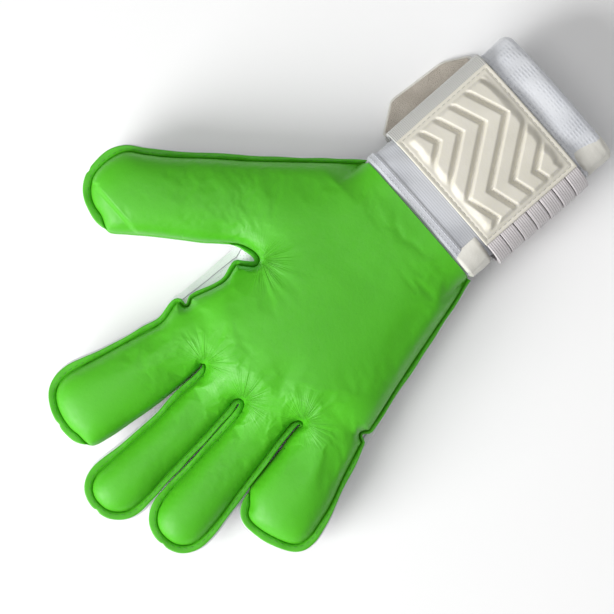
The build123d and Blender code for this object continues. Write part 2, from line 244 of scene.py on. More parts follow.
# ---- the outline, its rim and the seam inside it ----
class Edge:
    """The rim's outer edge, the seam inside it and the outward direction, for the palm side and the back."""

    def __init__(self, control):
        rows = []
        for x, y, width, *back in control:
            shift = (back[0] - x, back[1] - y) if back else (0, 0)
            rows.append((x, y, width, *shift))
        dense = catmull_rom(rows, 0.12)
        kernel = np.exp(-np.linspace(-2.5, 2.5, 45) ** 2)
        width = np.convolve(np.pad(dense[:, 2], 22, mode="edge"), kernel / kernel.sum(), mode="valid")
        width = np.clip(width, 0, None)
        outer = dense[:, :2]
        normal = self.outward(outer)
        seam = outer - normal * width[:, None]
        back = outer + dense[:, 3:5]
        back_normal = self.outward(back)
        back_seam = back - back_normal * width[:, None]
        valid = distance_to(seam, outer[::4], closed=False) > 0.9 * width - 0.04
        kept = [0]
        for i in range(1, len(seam)):
            step = np.linalg.norm(seam[i] - seam[kept[-1]])
            rim_step = np.linalg.norm(outer[i] - outer[kept[-1]])
            if valid[i] and (step > 0.8 or (rim_step > 1.5 and step > 0.3)):
                kept.append(i)
        kept[-1] = len(seam) - 1
        self.width = width[kept]
        self.outer, self.normal, self.seam = outer[kept], normal[kept], seam[kept]
        self.back_normal, self.back_seam = back_normal[kept], back_seam[kept]
        self.walked = walk(self.seam)

    @staticmethod
    def outward(line):
        tangent = np.gradient(line, axis=0)
        tangent /= np.linalg.norm(tangent, axis=1)[:, None] + 1e-12
        return np.column_stack([tangent[:, 1], -tangent[:, 0]])

    def nearest(self, point, first=0):
        """Index of the sample, from the first one on, whose rim is nearest to a plan point."""
        gap = np.linalg.norm(self.outer[first:] - np.array(point), axis=1)
        return first + int(gap.argmin())


class Membrane:
    """A filled membrane over a closed plan loop: height over its edge, from Poisson's equation."""

    STEP = 0.6

    def __init__(self, loop):
        tail = np.array([[loop[-1][0], -62.0], [loop[0][0], -62.0]])
        self.loop = np.vstack([loop, tail])
        low = self.loop.min(0) - 3
        size = np.ceil((self.loop.max(0) + 3 - low) / self.STEP).astype(int)
        self.low = low
        xs = low[0] + self.STEP * np.arange(size[0])
        ys = low[1] + self.STEP * np.arange(size[1])
        grid = np.stack(np.meshgrid(xs, ys, indexing="ij"), -1)
        mask = inside(grid.reshape(-1, 2), self.loop).reshape(size)
        phi = self.relax(mask)
        gap = np.zeros(mask.shape)
        gap[mask] = distance_to(grid[mask], self.loop)
        deep = mask & (gap > 2.2)
        ratio = np.where(deep, 2 * phi / np.maximum(gap, 1e-6), 0.0)
        weight = deep.astype(float)
        for _ in range(14):
            spread_weight = self.blur(weight)
            spread = self.blur(ratio * weight) / np.maximum(spread_weight, 1e-9)
            ratio = np.where(weight > 0, ratio, spread)
            weight = np.where(weight > 0, weight, (spread_weight > 1e-6).astype(float))
        self.ratio = ratio

    @staticmethod
    def blur(values):
        padded = np.pad(values, 1)
        return sum(padded[1 + i:padded.shape[0] - 1 + i, 1 + j:padded.shape[1] - 1 + j]
                   for i in (-1, 0, 1) for j in (-1, 0, 1)) / 9

    def relax(self, mask):
        """Red and black over-relaxation of the membrane's equation."""
        phi = np.zeros(mask.shape)
        i, j = np.indices(mask.shape)
        inner = mask.copy()
        inner[[0, -1], :] = False
        inner[:, [0, -1]] = False
        omega = 2 / (1 + math.sin(math.pi / 200))
        colours = [inner & ((i + j) % 2 == c) for c in (0, 1)]
        for _ in range(420):
            for colour in colours:
                near = np.zeros_like(phi)
                near[1:-1, 1:-1] = phi[2:, 1:-1] + phi[:-2, 1:-1] + phi[1:-1, 2:] + phi[1:-1, :-2]
                target = (near + self.STEP**2) / 4
                phi = np.where(colour, phi + omega * (target - phi), phi)
        return phi

    def reach(self, points):
        """Effective radius of the filled body under each point, 0 on the seam."""
        gap = distance_to(points, self.loop)
        at = np.clip((points - self.low) / self.STEP, 0, np.array(self.ratio.shape) - 1.01)
        cell = np.floor(at).astype(int)
        f = at - cell
        i, j = cell.T
        r = self.ratio
        ratio = ((1 - f[:, 0]) * (1 - f[:, 1]) * r[i, j] + f[:, 0] * (1 - f[:, 1]) * r[i + 1, j]
                 + (1 - f[:, 0]) * f[:, 1] * r[i, j + 1] + f[:, 0] * f[:, 1] * r[i + 1, j + 1])
        return np.sqrt(np.maximum(gap * ratio, 0))


def cuff_height(x, side):
    """Height of the cuff's surface over x, on the palm side (+1) or the back (-1)."""
    share = np.clip(np.abs((x - CUFF_CENTRE[0]) / CUFF_HALF_WIDTH), 0, 1)
    return CUFF_CENTRE[1] + side * CUFF_HALF_HEIGHT * (1 - share**CUFF_POWER) ** (1 / CUFF_POWER)


# ---- relief of the palm: folds that fan out from the four crotches, and the pad behind the fingers ----
CROTCHES = [  # plan point, direction of the fan in degrees, half spread, reach, depth
    ((34.0, 66.5), 200, 80, 30, 0.9),
    ((15.2, 117.2), 275, 85, 24, 1.0),
    ((-9.1, 115.4), 262, 85, 24, 1.1),
    ((-34.7, 101.2), 262, 85, 24, 1.0),
]
PAD_LINE = np.array([(50.0, 101.0), (15.2, 117.6), (-9.1, 116.2), (-34.8, 101.4), (-64.0, 80.0)])
PAD_RISE = 5.8


def wrinkles(points):
    height = np.zeros(len(points))
    for number, (centre, heading, spread, reach, depth) in enumerate(CROTCHES):
        rel = points - np.array(centre)
        r = np.linalg.norm(rel, axis=1) + 1e-6
        angle = np.degrees(np.arctan2(rel[:, 1], rel[:, 0])) - heading
        angle = (angle + 180) % 360 - 180
        fan = smoothstep((spread - np.abs(angle)) / 30)
        fade = smoothstep((r - 1.0) / 5.0) * smoothstep((reach - r) / (0.8 * reach))
        bent = angle + 3 * np.sin(r / 5.0 + number)
        folds = (np.sin(np.radians(bent * 9 + 50 * number)) + 0.8 * np.sin(np.radians(bent * 16 + 70))
                 + 0.5 * np.sin(np.radians(bent * 25 + 35 * number)))
        height += depth * fan * fade * 0.12 * folds
    return height


def knuckle_pad(points):
    """The palm stands higher behind the fingers and falls steeply to the crotches between them."""
    gap = distance_to(points, PAD_LINE, closed=False)
    x, y = points.T
    order = np.argsort(PAD_LINE[:, 0])
    behind = np.interp(x, PAD_LINE[order, 0], PAD_LINE[order, 1]) > y
    nearest = np.min([np.linalg.norm(points - np.array(c[0]), axis=1) for c in CROTCHES[1:]], axis=0)
    share = 0.5 + 0.5 * np.exp(-(nearest / 17.0) ** 2)
    rise = np.where(behind, smoothstep((gap + 0.5) / 19.0), 0.0)
    return PAD_RISE * rise * share * smoothstep((y - 25) / 60)


# ---- meshes ----
class Shape:
    """Vertices, faces and a (piece, material) label for each face; its pieces keep its normals."""

    def __init__(self):
        self.points = []
        self.faces = []
        self.labels = []

    def add(self, points, faces, labels):
        first = len(self.points)
        self.points.extend(map(tuple, points))
        self.faces.extend([tuple(first + i for i in face) for face in faces])
        self.labels.extend([label if isinstance(label, tuple) else (label, 0) for label in labels])
        return self

    def add_rows(self, rows, labels, round_section=False):
        """A band through rows of sections; labels is one label, or one for each step between rows."""
        rows = np.asarray(rows)
        count, width = rows.shape[:2]
        faces, tags = [], []
        for i in range(count - 1):
            for j in range(width if round_section else width - 1):
                k = (j + 1) % width
                faces.append((i * width + j, (i + 1) * width + j, (i + 1) * width + k, i * width + k))
                tags.append(labels[i] if isinstance(labels, list) else labels)
        return self.add(rows.reshape(-1, 3), faces, tags)

    def weld(self):
        keys = {}
        points, remap = [], []
        for p in self.points:
            key = (round(p[0], 2), round(p[1], 2), round(p[2], 2))
            if key not in keys:
                keys[key] = len(points)
                points.append(p)
            remap.append(keys[key])
        faces, labels = [], []
        for face, label in zip(self.faces, self.labels):
            face = tuple(dict.fromkeys(remap[i] for i in face))
            if len(face) > 2:
                faces.append(face)
                labels.append(label)
        self.points, self.faces, self.labels = points, faces, labels
        return self

    def normals(self):
        points = np.array(self.points)
        total = np.zeros_like(points)
        for size in (3, 4):
            chosen = np.array([f for f in self.faces if len(f) == size])
            if not len(chosen):
                continue
            a, b, c, d = (points[chosen[:, i]] for i in (0, 1, 2, -1))
            n = np.cross(c - a, d - b) if size == 4 else np.cross(b - a, c - a)
            for i in range(size):
                np.add.at(total, chosen[:, i], n)
        return total / np.maximum(np.linalg.norm(total, axis=1), 1e-12)[:, None]

    def pieces(self, *materials):
        """One mesh object for each piece name, smooth across the cuts between them."""
        normals = self.normals()
        points = np.array(self.points)
        groups = {}
        for face, (name, material) in zip(self.faces, self.labels):
            groups.setdefault(name, []).append((face, material))
        made = {}
        for name, members in groups.items():
            used = sorted({i for face, _ in members for i in face})
            index = {old: new for new, old in enumerate(used)}
            faces = [[index[i] for i in face] for face, _ in members]
            made[name] = mesh_object(name + "_form", points[used], faces, normals[used], materials,
                                     [material for _, material in members])
        return made


def mesh_object(name, points, faces, normals=None, materials=(), numbers=None):
    """A smooth mesh object from design-frame points."""
    mesh = bpy.data.meshes.new(name)
    mesh.from_pydata((np.asarray(points) * MM + ORIGIN).tolist(), [], faces)
    for material in materials:
        mesh.materials.append(material)
    if numbers is not None:
        mesh.polygons.foreach_set("material_index", numbers)
    mesh.shade_smooth()
    if normals is not None:
        mesh.normals_split_custom_set_from_vertices(normals.tolist())
    mesh.update()
    piece = bpy.data.objects.new(name, mesh)
    bpy.context.scene.collection.objects.link(piece)
    return piece


def triangulate(loop, cuts, spacing):
    """Triangles inside the loop, with finer rings along its edge; returns plan points and faces."""
    count = len(loop)
    tangent = np.roll(loop, -1, axis=0) - np.roll(loop, 1, axis=0)
    tangent /= np.linalg.norm(tangent, axis=1)[:, None]
    inward = np.column_stack([-tangent[:, 1], tangent[:, 0]])
    candidates = [loop + inward * gap for gap in (0.12, 0.5, 1.15, 2.1)]
    low, high = loop.min(0), loop.max(0)
    rows = []
    for n, y in enumerate(np.arange(low[1], high[1], spacing * 0.866)):
        x = np.arange(low[0] + (n % 2) * spacing / 2, high[0], spacing)
        rows.append(np.column_stack([x, np.full_like(x, y)]))
    grid = np.vstack(rows)
    grid = grid[inside(grid, loop)]
    grid = grid[distance_to(grid, loop) > 2.6]
    fine = []
    for centre, *_ in CROTCHES:
        for n, y in enumerate(np.arange(centre[1] - 22, centre[1] + 8, 0.55)):
            x = np.arange(centre[0] - 18 + (n % 2) * 0.3, centre[0] + 18, 0.62)
            fine.append(np.column_stack([x, np.full_like(x, y)]))
    fine = np.vstack(fine)
    fine = fine[inside(fine, loop)]
    fine = fine[distance_to(fine, loop) > 2.6]
    near = np.min([np.linalg.norm(grid - np.array(c[0]), axis=1) for c in CROTCHES], axis=0)
    fine_near = np.min([np.linalg.norm(fine - np.array(c[0]), axis=1) for c in CROTCHES], axis=0)
    candidates += [fine[fine_near < 17], grid[near >= 17]]
    cut_points = np.vstack(cuts)
    taken = {}
    chosen = [loop, cut_points]

    def crowded(p, gap):
        cx, cy = int(p[0] // 1), int(p[1] // 1)
        for i in (-1, 0, 1):
            for j in (-1, 0, 1):
                for q in taken.get((cx + i, cy + j), ()):
                    if (q[0] - p[0]) ** 2 + (q[1] - p[1]) ** 2 < gap * gap:
                        return True
        return False

    for p in cut_points:
        taken.setdefault((int(p[0] // 1), int(p[1] // 1)), []).append(p)
    for ring, gap in zip(candidates, (0.1, 0.3, 0.45, 0.55, 0.5, 0.8)):
        ring = ring[inside(ring, loop)]
        clear = distance_to(ring, loop)
        ring = ring[clear > 0.8 * gap if gap > 0.1 else clear > 0.05]
        for p in ring:
            if not crowded(p, gap):
                taken.setdefault((int(p[0] // 1), int(p[1] // 1)), []).append(p)
                chosen.append(p[None])
    points = np.vstack(chosen)
    edges = [(i, (i + 1) % count) for i in range(count)]
    first = count
    for cut in cuts:
        edges += [(first + i, first + i + 1) for i in range(len(cut) - 1)]
        first += len(cut)
    result = geometry.delaunay_2d_cdt([Vector(p) for p in points], edges, [], 1, 1e-5, False)
    found = np.array([tuple(v) for v in result[0]])
    faces = [tuple(f) for f in result[2]]
    centres = found[np.array(faces)].mean(1)
    return found, [face for face, kept in zip(faces, inside(centres, loop)) if kept]


def regions(points, faces, cuts):
    """A region number for each face: the sheet falls apart along the cut lines."""
    on_cut = {}
    for number, cut in enumerate(cuts):
        gap = distance_to(points, cut, closed=False)
        for i in np.flatnonzero(gap < 1e-3):
            on_cut.setdefault(int(i), set()).add(number)
    sides = {}
    for f, face in enumerate(faces):
        for a, b in zip(face, face[1:] + face[:1]):
            sides.setdefault((min(a, b), max(a, b)), []).append(f)
    linked = [[] for _ in faces]
    for (a, b), pair in sides.items():
        shared = on_cut.get(a, set()) & on_cut.get(b, set())
        if len(pair) == 2 and not shared:
            linked[pair[0]].append(pair[1])
            linked[pair[1]].append(pair[0])
    found = [-1] * len(faces)
    number = 0
    for seed in range(len(faces)):
        if found[seed] >= 0:
            continue
        stack = [seed]
        found[seed] = number
        while stack:
            for g in linked[stack.pop()]:
                if found[g] < 0:
                    found[g] = number
                    stack.append(g)
        number += 1
    return found


# ---- materials ----
MIX_FACTOR, MIX_A, MIX_B, MIX_RESULT = 0, 6, 7, 2      # the colour sockets of a Mix node


def linear(r, g, b):
    """Scene colour from 0 to 255 display values."""
    values = [c / 255 for c in (r, g, b)]
    return (*[c / 12.92 if c <= 0.04045 else ((c + 0.055) / 1.055) ** 2.4 for c in values], 1.0)


class Finish:
    """One procedural material: colour variation and stacked bumps over Object coordinates in metres."""

    def __init__(self, name, colour, roughness, sheen=0.0, subsurface=0.0, stretch=(1, 1, 1)):
        self.material = bpy.data.materials.new(name)
        self.material.use_nodes = True
        self.nodes = self.material.node_tree.nodes
        self.links = self.material.node_tree.links
        self.shader = self.nodes["Principled BSDF"]
        self.feed(self.shader, {
            "Base Color": colour, "Roughness": roughness, "Sheen Weight": sheen,
            "Subsurface Weight": subsurface, "Subsurface Radius": (0.002, 0.002, 0.001),
            "Subsurface Scale": 0.5,
        })
        self.object_place = self.node("ShaderNodeTexCoord").outputs["Object"]
        mapping = self.node("ShaderNodeMapping", {"Scale": stretch, "Vector": self.object_place})
        self.place = mapping.outputs["Vector"]
        self.bump = None
        self.colour = colour

    def feed(self, node, inputs):
        """Sets each named or numbered input, or links it where a socket is given."""
        for key, value in inputs.items():
            if isinstance(value, bpy.types.NodeSocket):
                self.links.new(value, node.inputs[key])
            else:
                node.inputs[key].default_value = value

    def node(self, kind, inputs=None, **settings):
        made = self.nodes.new(kind)
        for key, value in settings.items():
            setattr(made, key, value)
        self.feed(made, inputs or {})
        return made

    def noise(self, scale, detail=2.0):
        inputs = {"Scale": scale, "Detail": detail, "Vector": self.place}
        return self.node("ShaderNodeTexNoise", inputs).outputs["Fac"]

    def cells(self, scale, randomness=1.0):
        inputs = {"Scale": scale, "Randomness": randomness, "Vector": self.place}
        return self.node("ShaderNodeTexVoronoi", inputs).outputs["Distance"]

    def waves(self, axis, pitch, wander=0.0, fine=2.0):
        """Lines a pitch apart, in metres, across the axis."""
        inputs = {"Scale": math.pi / (10 * pitch), "Distortion": wander, "Detail Scale": fine,
                  "Vector": self.place}
        return self.node("ShaderNodeTexWave", inputs, wave_type="BANDS", bands_direction=axis).outputs["Fac"]

    def combine(self, a, b, operation="MULTIPLY"):
        return self.node("ShaderNodeMath", {0: a, 1: b}, operation=operation).outputs["Value"]

    def vector(self, operation, a, b=(0.0, 0.0, 0.0), output="Vector"):
        return self.node("ShaderNodeVectorMath", {0: a, 1: b}, operation=operation).outputs[output]

    def spread(self, source, low, high, to_low=0.0, to_high=1.0):
        inputs = {"From Min": low, "From Max": high, "To Min": to_low, "To Max": to_high, "Value": source}
        return self.node("ShaderNodeMapRange", inputs).outputs["Result"]

    def raise_by(self, source, distance, strength=1.0):
        """Adds a bump layer of that height in metres."""
        inputs = {"Strength": strength, "Distance": distance, "Height": source}
        if self.bump is not None:
            inputs["Normal"] = self.bump
        self.bump = self.node("ShaderNodeBump", inputs).outputs["Normal"]
        self.feed(self.shader, {"Normal": self.bump})

    def tint(self, source, colour):
        """Mixes towards a colour where the source is 1."""
        inputs = {MIX_FACTOR: source, MIX_A: self.colour, MIX_B: colour}
        self.colour = self.node("ShaderNodeMix", inputs, data_type="RGBA").outputs[MIX_RESULT]
        self.feed(self.shader, {"Base Color": self.colour})

    def roughen(self, source, low, high):
        self.feed(self.shader, {"Roughness": self.spread(source, 0.3, 0.7, low, high)})


def radial_folds(f, centre, heading, number, reach):
    """Fine creases that fan out from a plan point; returns their height from 0 to 1."""
    middle = placed(*centre, 0.0)
    flat = f.vector("SUBTRACT", f.object_place, (middle.x, middle.y, 0.0))
    flat = f.vector("MULTIPLY", flat, (1.0, 1.0, 0.0))
    turn = f.node("ShaderNodeTexGradient", {"Vector": flat}, gradient_type="RADIAL").outputs["Fac"]
    size = f.vector("LENGTH", flat, output="Value")
    inputs = {"Scale": 95.0, "Detail": 2.0, "W": f.combine(turn, number * 7.3, "ADD")}
    lines = f.node("ShaderNodeTexNoise", inputs, noise_dimensions="1D").outputs["Fac"]
    start = f.spread(size, 0.0008, 0.003)
    finish = f.spread(size, 0.004, reach, 1.0, 0.0)
    towards = (math.cos(math.radians(heading)), math.sin(math.radians(heading)), 0.0)
    ahead = f.vector("DOT_PRODUCT", flat, towards, output="Value")
    side = f.spread(ahead, -0.002, 0.005, 0.35, 1.0)
    return f.combine(f.combine(lines, side), f.combine(start, f.combine(finish, finish)))


def latex_green():
    f = Finish("latex_green", linear(76, 178, 24), 0.38, subsurface=0.1)
    f.shader.inputs["Specular IOR Level"].default_value = 0.42
    broad = f.noise(38, 3.0)
    grain = f.noise(5200, 2.0)
    skin = f.noise(650, 3.0)
    pits = f.spread(f.cells(900), 0.0, 0.22, 1.0, 0.0)
    f.tint(f.spread(broad, 0.35, 0.75), linear(82, 187, 28))
    f.tint(f.spread(f.noise(1500, 2.0), 0.60, 0.78, 0.0, 0.35), linear(62, 158, 20))
    f.tint(f.combine(pits, 0.22), linear(54, 142, 18))
    for number, (centre, heading, _, _, _) in enumerate(CROTCHES):
        f.raise_by(radial_folds(f, centre, heading, number, 0.019), 0.0011, 0.8)
    f.raise_by(f.noise(120, 4.0), 0.00035, 0.35)
    f.raise_by(skin, 0.00008, 0.6)
    f.raise_by(grain, 0.00003, 0.6)
    f.roughen(f.noise(300, 2.0), 0.42, 0.54)
    return f.material


def thread(name, colour, shade):
    f = Finish(name, colour, 0.6, sheen=0.2)
    f.tint(f.spread(f.noise(3000), 0.4, 0.7, 0.0, 0.6), shade)
    f.raise_by(f.waves("DIAGONAL", 0.00035, 0.5), 0.00008, 0.8)
    return f.material


def foam_white():
    f = Finish("backhand_foam", linear(232, 233, 235), 0.62, sheen=0.15)
    f.tint(f.spread(f.noise(45, 3.0), 0.4, 0.75, 0.0, 0.6), linear(214, 216, 220))
    # darker at the cells' centres, which are also the bump's dimples: painted shade in the pores
    f.tint(f.spread(f.cells(1700), 0.0, 0.35, 0.45, 0.0), linear(176, 178, 184))
    f.raise_by(f.cells(1700), 0.00012, 0.8)
    f.raise_by(f.noise(220, 4.0), 0.00025, 0.4)
    f.roughen(f.noise(500), 0.55, 0.72)
    return f.material


def mesh_white():
    f = Finish("gusset_mesh", linear(228, 230, 234), 0.7, sheen=0.25)
    holes = f.spread(f.cells(900, randomness=0.25), 0.0, 0.32, 1.0, 0.0)
    # grey painted into the holes: painted shade seen through the mesh
    f.tint(f.combine(holes, 0.6), linear(150, 156, 158))
    f.tint(f.spread(f.noise(60), 0.45, 0.8, 0.0, 0.5), linear(196, 200, 204))
    f.raise_by(f.combine(holes, -1.0), 0.0003, 0.9)
    f.raise_by(f.noise(4000), 0.00005, 0.6)
    return f.material


def knit(name, colour, shade, pitch, cross):
    """Ribbed knit: rows at constant y and stitches across them, with painted shade in the grooves between
    the rows.
    """
    f = Finish(name, colour, 0.72, sheen=0.3)
    rows = f.waves("Y", pitch, 0.6, 3.0)
    stitch = f.waves("X", cross, 1.2, 4.0)
    loops = f.combine(rows, f.spread(stitch, 0.0, 1.0, 0.55, 1.0))
    # darker where the rows dip: painted shade in the rib grooves; the two noise tints below are random tone
    f.tint(f.spread(rows, 0.0, 0.6, 0.3, 0.0), shade)
    f.tint(f.spread(f.noise(55, 3.0), 0.45, 0.8, 0.0, 0.45), shade)
    f.tint(f.spread(f.noise(2600), 0.62, 0.8, 0.0, 0.35), shade)
    f.raise_by(loops, 0.00007, 0.6)
    f.raise_by(f.noise(3500, 2.0), 0.00008, 0.6)
    f.raise_by(f.noise(90, 3.0), 0.0006, 0.25)
    return f.material


def honeycomb():
    """Thick mesh knit of the hem, with painted shade in its holes."""
    f = Finish("hem_mesh_knit", linear(218, 220, 224), 0.72, sheen=0.3, stretch=(0.62, 1.0, 0.8))
    holes = f.spread(f.cells(640, randomness=0.2), 0.05, 0.55, 1.0, 0.0)
    # bluish grey in the holes: painted shade
    f.tint(f.combine(holes, 0.3), linear(192, 196, 206))
    f.tint(f.spread(f.noise(60, 3.0), 0.45, 0.8, 0.0, 0.4), linear(206, 210, 220))
    f.raise_by(f.combine(holes, -1.0), 0.00022, 0.7)
    f.raise_by(f.noise(3500, 2.0), 0.00008, 0.6)
    return f.material


def strap_latex():
    f = Finish("strap_latex", linear(214, 210, 197), 0.44, subsurface=0.1)
    f.tint(f.spread(f.noise(60, 3.0), 0.4, 0.75), linear(221, 217, 205))
    f.tint(f.spread(f.cells(420), 0.0, 0.08, 0.35, 0.0), linear(150, 144, 130))
    f.raise_by(f.noise(900, 3.0), 0.0001, 0.6)
    f.raise_by(f.noise(5000, 2.0), 0.00003, 0.6)
    f.roughen(f.noise(350), 0.40, 0.54)
    return f.material


def elastic():
    f = Finish("strap_elastic", linear(212, 207, 208), 0.7, sheen=0.25)
    ribs = f.waves("Y", 0.0011, 0.5, 3.0)
    # darker where the ribs dip: painted shade in the rib grooves
    f.tint(f.spread(ribs, 0.0, 0.5, 0.5, 0.0), linear(184, 176, 178))
    f.tint(f.spread(f.noise(2500), 0.58, 0.8, 0.0, 0.5), linear(158, 150, 152))
    f.raise_by(ribs, 0.00016, 0.7)
    f.raise_by(f.waves("X", 0.0009, 1.5, 4.0), 0.0001, 0.6)
    f.raise_by(f.noise(3500), 0.00006, 0.6)
    return f.material


def binding_knit():
    f = Finish("binding_knit", linear(186, 185, 178), 0.72, sheen=0.25)
    ribs = f.waves("Y", 0.0009, 0.4, 3.0)
    f.tint(f.spread(ribs, 0.0, 0.6, 0.5, 0.0), linear(182, 184, 192))
    f.raise_by(ribs, 0.00016, 0.7)
    f.raise_by(f.noise(3200), 0.00008, 0.6)
    return f.material


def trim_smooth():
    f = Finish("trim_cream", linear(222, 220, 212), 0.5)
    f.tint(f.spread(f.noise(160, 3.0), 0.45, 0.75, 0.0, 0.7), linear(210, 208, 198))
    f.raise_by(f.noise(420, 4.0), 0.0003, 0.5)
    f.raise_by(f.noise(4200), 0.00004, 0.6)
    return f.material


def fuzzy(name, colour, light, dark):
    """Hook or loop tape: short nap, with pale dots painted in as glints off its fibres."""
    f = Finish(name, colour, 0.85, sheen=0.5)
    f.tint(f.spread(f.noise(90, 3.0), 0.4, 0.75), dark)
    # pale dots at the cells: painted glints off the fibres
    f.tint(f.spread(f.cells(2200), 0.0, 0.3, 0.8, 0.0), light)
    f.tint(f.spread(f.noise(4200, 3.0), 0.58, 0.75), light)
    f.raise_by(f.cells(2000), 0.0004, 0.9)
    f.raise_by(f.noise(5200, 3.0), 0.0002, 0.9)
    return f.material


GREEN = latex_green()
GREEN_THREAD = thread("thread_green", linear(72, 168, 26), linear(46, 128, 18))
GREY_THREAD = thread("thread_grey", linear(196, 194, 182), linear(150, 146, 132))
WHITE_THREAD = thread("thread_white", linear(222, 224, 230), linear(186, 190, 198))
FOAM = foam_white()
MESH = mesh_white()
# the second colour of each knit is a darker tone for random variation and for the painted shade in its rib
# grooves
KNIT = knit("cuff_rib_knit", linear(192, 194, 199), linear(172, 175, 183), 0.0011, 0.0008)
TAPE = knit("wrist_tape_knit", linear(204, 206, 211), linear(178, 181, 189), 0.0009, 0.0010)
HEM = honeycomb()
CREAM = strap_latex()
ELASTIC = elastic()
BINDING = binding_knit()
TRIM = trim_smooth()
# the third colour of each is a paler tone, also used for the painted glints
HOOK = fuzzy("hook_nap", linear(192, 183, 170), linear(226, 219, 208), linear(170, 160, 146))
LOOP = fuzzy("loop_nap", linear(222, 222, 224), linear(238, 238, 240), linear(196, 196, 200))


# ---- the glove's hand: latex, gussets and back ----
edge = Edge(outline_points())
count = len(edge.seam)
NICKS = [  # plan point and depth of the small dents in the rim
    (-2.6, 199.6, 0.9), (-34.8, 188.4, 1.0), (-58.0, 150.0, 0.6), (38.8, 186.6, 0.6), (118.5, 99.0, 0.7),
]
STALL_ENDS = {}            # the first and last samples of each stall's free edge
for name, (first_point, last_point) in {
    "thumb": (STALLS["thumb"].plan(14, 20.9), STALLS["thumb"].plan(14, -21.5)),
    "index": ((46.9, 108.4), (15.5, 121.2)),
    "middle": ((14.8, 121.2), (-9.0, 120.2)),
    "ring": ((-10.0, 120.2), (-34.2, 105.2)),
    "little": ((-35.5, 105.5), (-62.4, 88.8)),
}.items():
    a = edge.nearest(first_point)
    STALL_ENDS[name] = (a, edge.nearest(last_point, a))
ORDER = ["thumb", "index", "middle", "ring", "little"]
SIDES = ["radial_gusset", "web_gusset", "finger_webs", "finger_webs", "finger_webs", "ulnar_gusset"]


def split_ends(name):
    """Samples on both sides of a stall where its base piece ends."""
    a, b = STALL_ENDS[name]
    u, v = STALLS[name].local(edge.seam[a:b + 1])
    middle = int(u.argmax())
    first = a + int(np.abs(u[:middle] - STALLS[name].split).argmin())
    last = a + middle + int(np.abs(u[middle:] - STALLS[name].split).argmin())
    return first, last


SPLIT_ENDS = {name: split_ends(name) for name in ORDER}


def part_of(i, kind):
    """The piece that edge samples i to i + 1 belong to; kind is latex, back or gusset."""
    for number, name in enumerate(ORDER):
        a, b = STALL_ENDS[name]
        first, last = SPLIT_ENDS[name]
        if i < a:
            hand = {"latex": "palm_latex", "back": "backhand", "gusset": SIDES[number]}
            return hand[kind]
        if i < b:
            return f"{name}_tip_{kind}" if first <= i < last else f"{name}_base_{kind}"
    return {"latex": "palm_latex", "back": "backhand", "gusset": SIDES[-1]}[kind]


def straight(a, b, spacing=1.2):
    steps = max(2, int(np.linalg.norm(b - a) / spacing))
    return a + (b - a) * np.linspace(0, 1, steps + 1)[:, None]


def sheet(seam, height, kind, spacing, hand_name, shape):
    """Fills the seam loop with the curved sheet and labels its pieces."""
    wrist = straight(seam[-1], seam[0], 1.3)[1:-1]
    loop = np.vstack([seam, wrist])
    cuts = [straight(seam[a], seam[b]) for name in ORDER for a, b in (STALL_ENDS[name], SPLIT_ENDS[name])]
    points, faces = triangulate(loop, cuts, spacing)
    number = regions(points, faces, cuts)
    labels = {}
    for name in ORDER:
        for part, (a, b) in (("base", STALL_ENDS[name]), ("tip", SPLIT_ENDS[name])):
            middle = (seam[a] + seam[b]) / 2 + STALLS[name].along * (5.0 if part == "base" else 8.0)
            centres = points[[f[0] for f in faces]]
            nearest = int(np.linalg.norm(centres - middle, axis=1).argmin())
            labels[number[nearest]] = f"{name}_{part}_{kind}"
    tags = [labels.get(n, hand_name) for n in number]
    z = height(points)
    if kind == "back":
        faces = [face[::-1] for face in faces]
    shape.add(np.column_stack([points, z]), faces, tags)


front_body = Membrane(edge.seam)


def palm_height(points):
    s = front_body.reach(points)
    z = SEAM_Z + FRONT_FULLNESS * (1 - np.exp(-s / FRONT_FULLNESS))
    z = z + (wrinkles(points) + knuckle_pad(points)) * smoothstep(s / 6)
    x, y = points.T
    wrist = smoothstep((WRIST_BLEND - y) / (WRIST_BLEND - WRIST_Y))
    return z * (1 - wrist) + (cuff_height(x, 1) + 0.5) * wrist


def back_height(points):
    s = back_body.reach(points)
    z = -BACK_SEAM_Z + BACK_FULLNESS * (1 - np.exp(-s / BACK_FULLNESS))
    z = np.where(z > 15, 15 + 2.6 * np.tanh((z - 15) / 2.6), z)
    x, y = points.T
    wrist = smoothstep((WRIST_BLEND - y) / (WRIST_BLEND - WRIST_Y))
    return -z * (1 - wrist) + (cuff_height(x, -1) - 0.4) * wrist


back_seam = edge.back_seam.copy()
back_body = Membrane(back_seam)
wobble = 0.12 * np.sin(edge.walked / 3.4 + 2 * np.sin(edge.walked / 23))
wobble += 0.14 * np.sin(edge.walked / 9.1 + 1)
full = smoothstep(np.clip(edge.width / 1.6, 0, 1))[:, None]
nicks = np.zeros(count)
for nick_x, nick_y, depth in NICKS:
    far = np.hypot(edge.outer[:, 0] - nick_x, edge.outer[:, 1] - nick_y)
    nicks += depth * np.exp(-(far / 1.1) ** 2)
w = (edge.width + (wobble - nicks) * full[:, 0])[:, None]
near_wrist = smoothstep((8.0 - edge.seam[:, 1]) / 9.0)[:, None]
zero = np.zeros_like(w)


def section(rim, rolled):
    """Profile rows (outward, z) for each edge sample: rim where it is full, rolled where it has no width."""
    out = np.concatenate([a * full + b * (1 - full) for (a, _), (b, _) in zip(rim, rolled)], axis=1)
    z = np.concatenate([(zero + a) * full + b * (1 - full) for (_, a), (_, b) in zip(rim, rolled)], axis=1)
    return out, z


def rows_of(base, normal, out, z):
    plan = base[:, None, :] + normal[:, None, :] * out[..., None]
    return np.concatenate([plan, z[..., None]], axis=2)


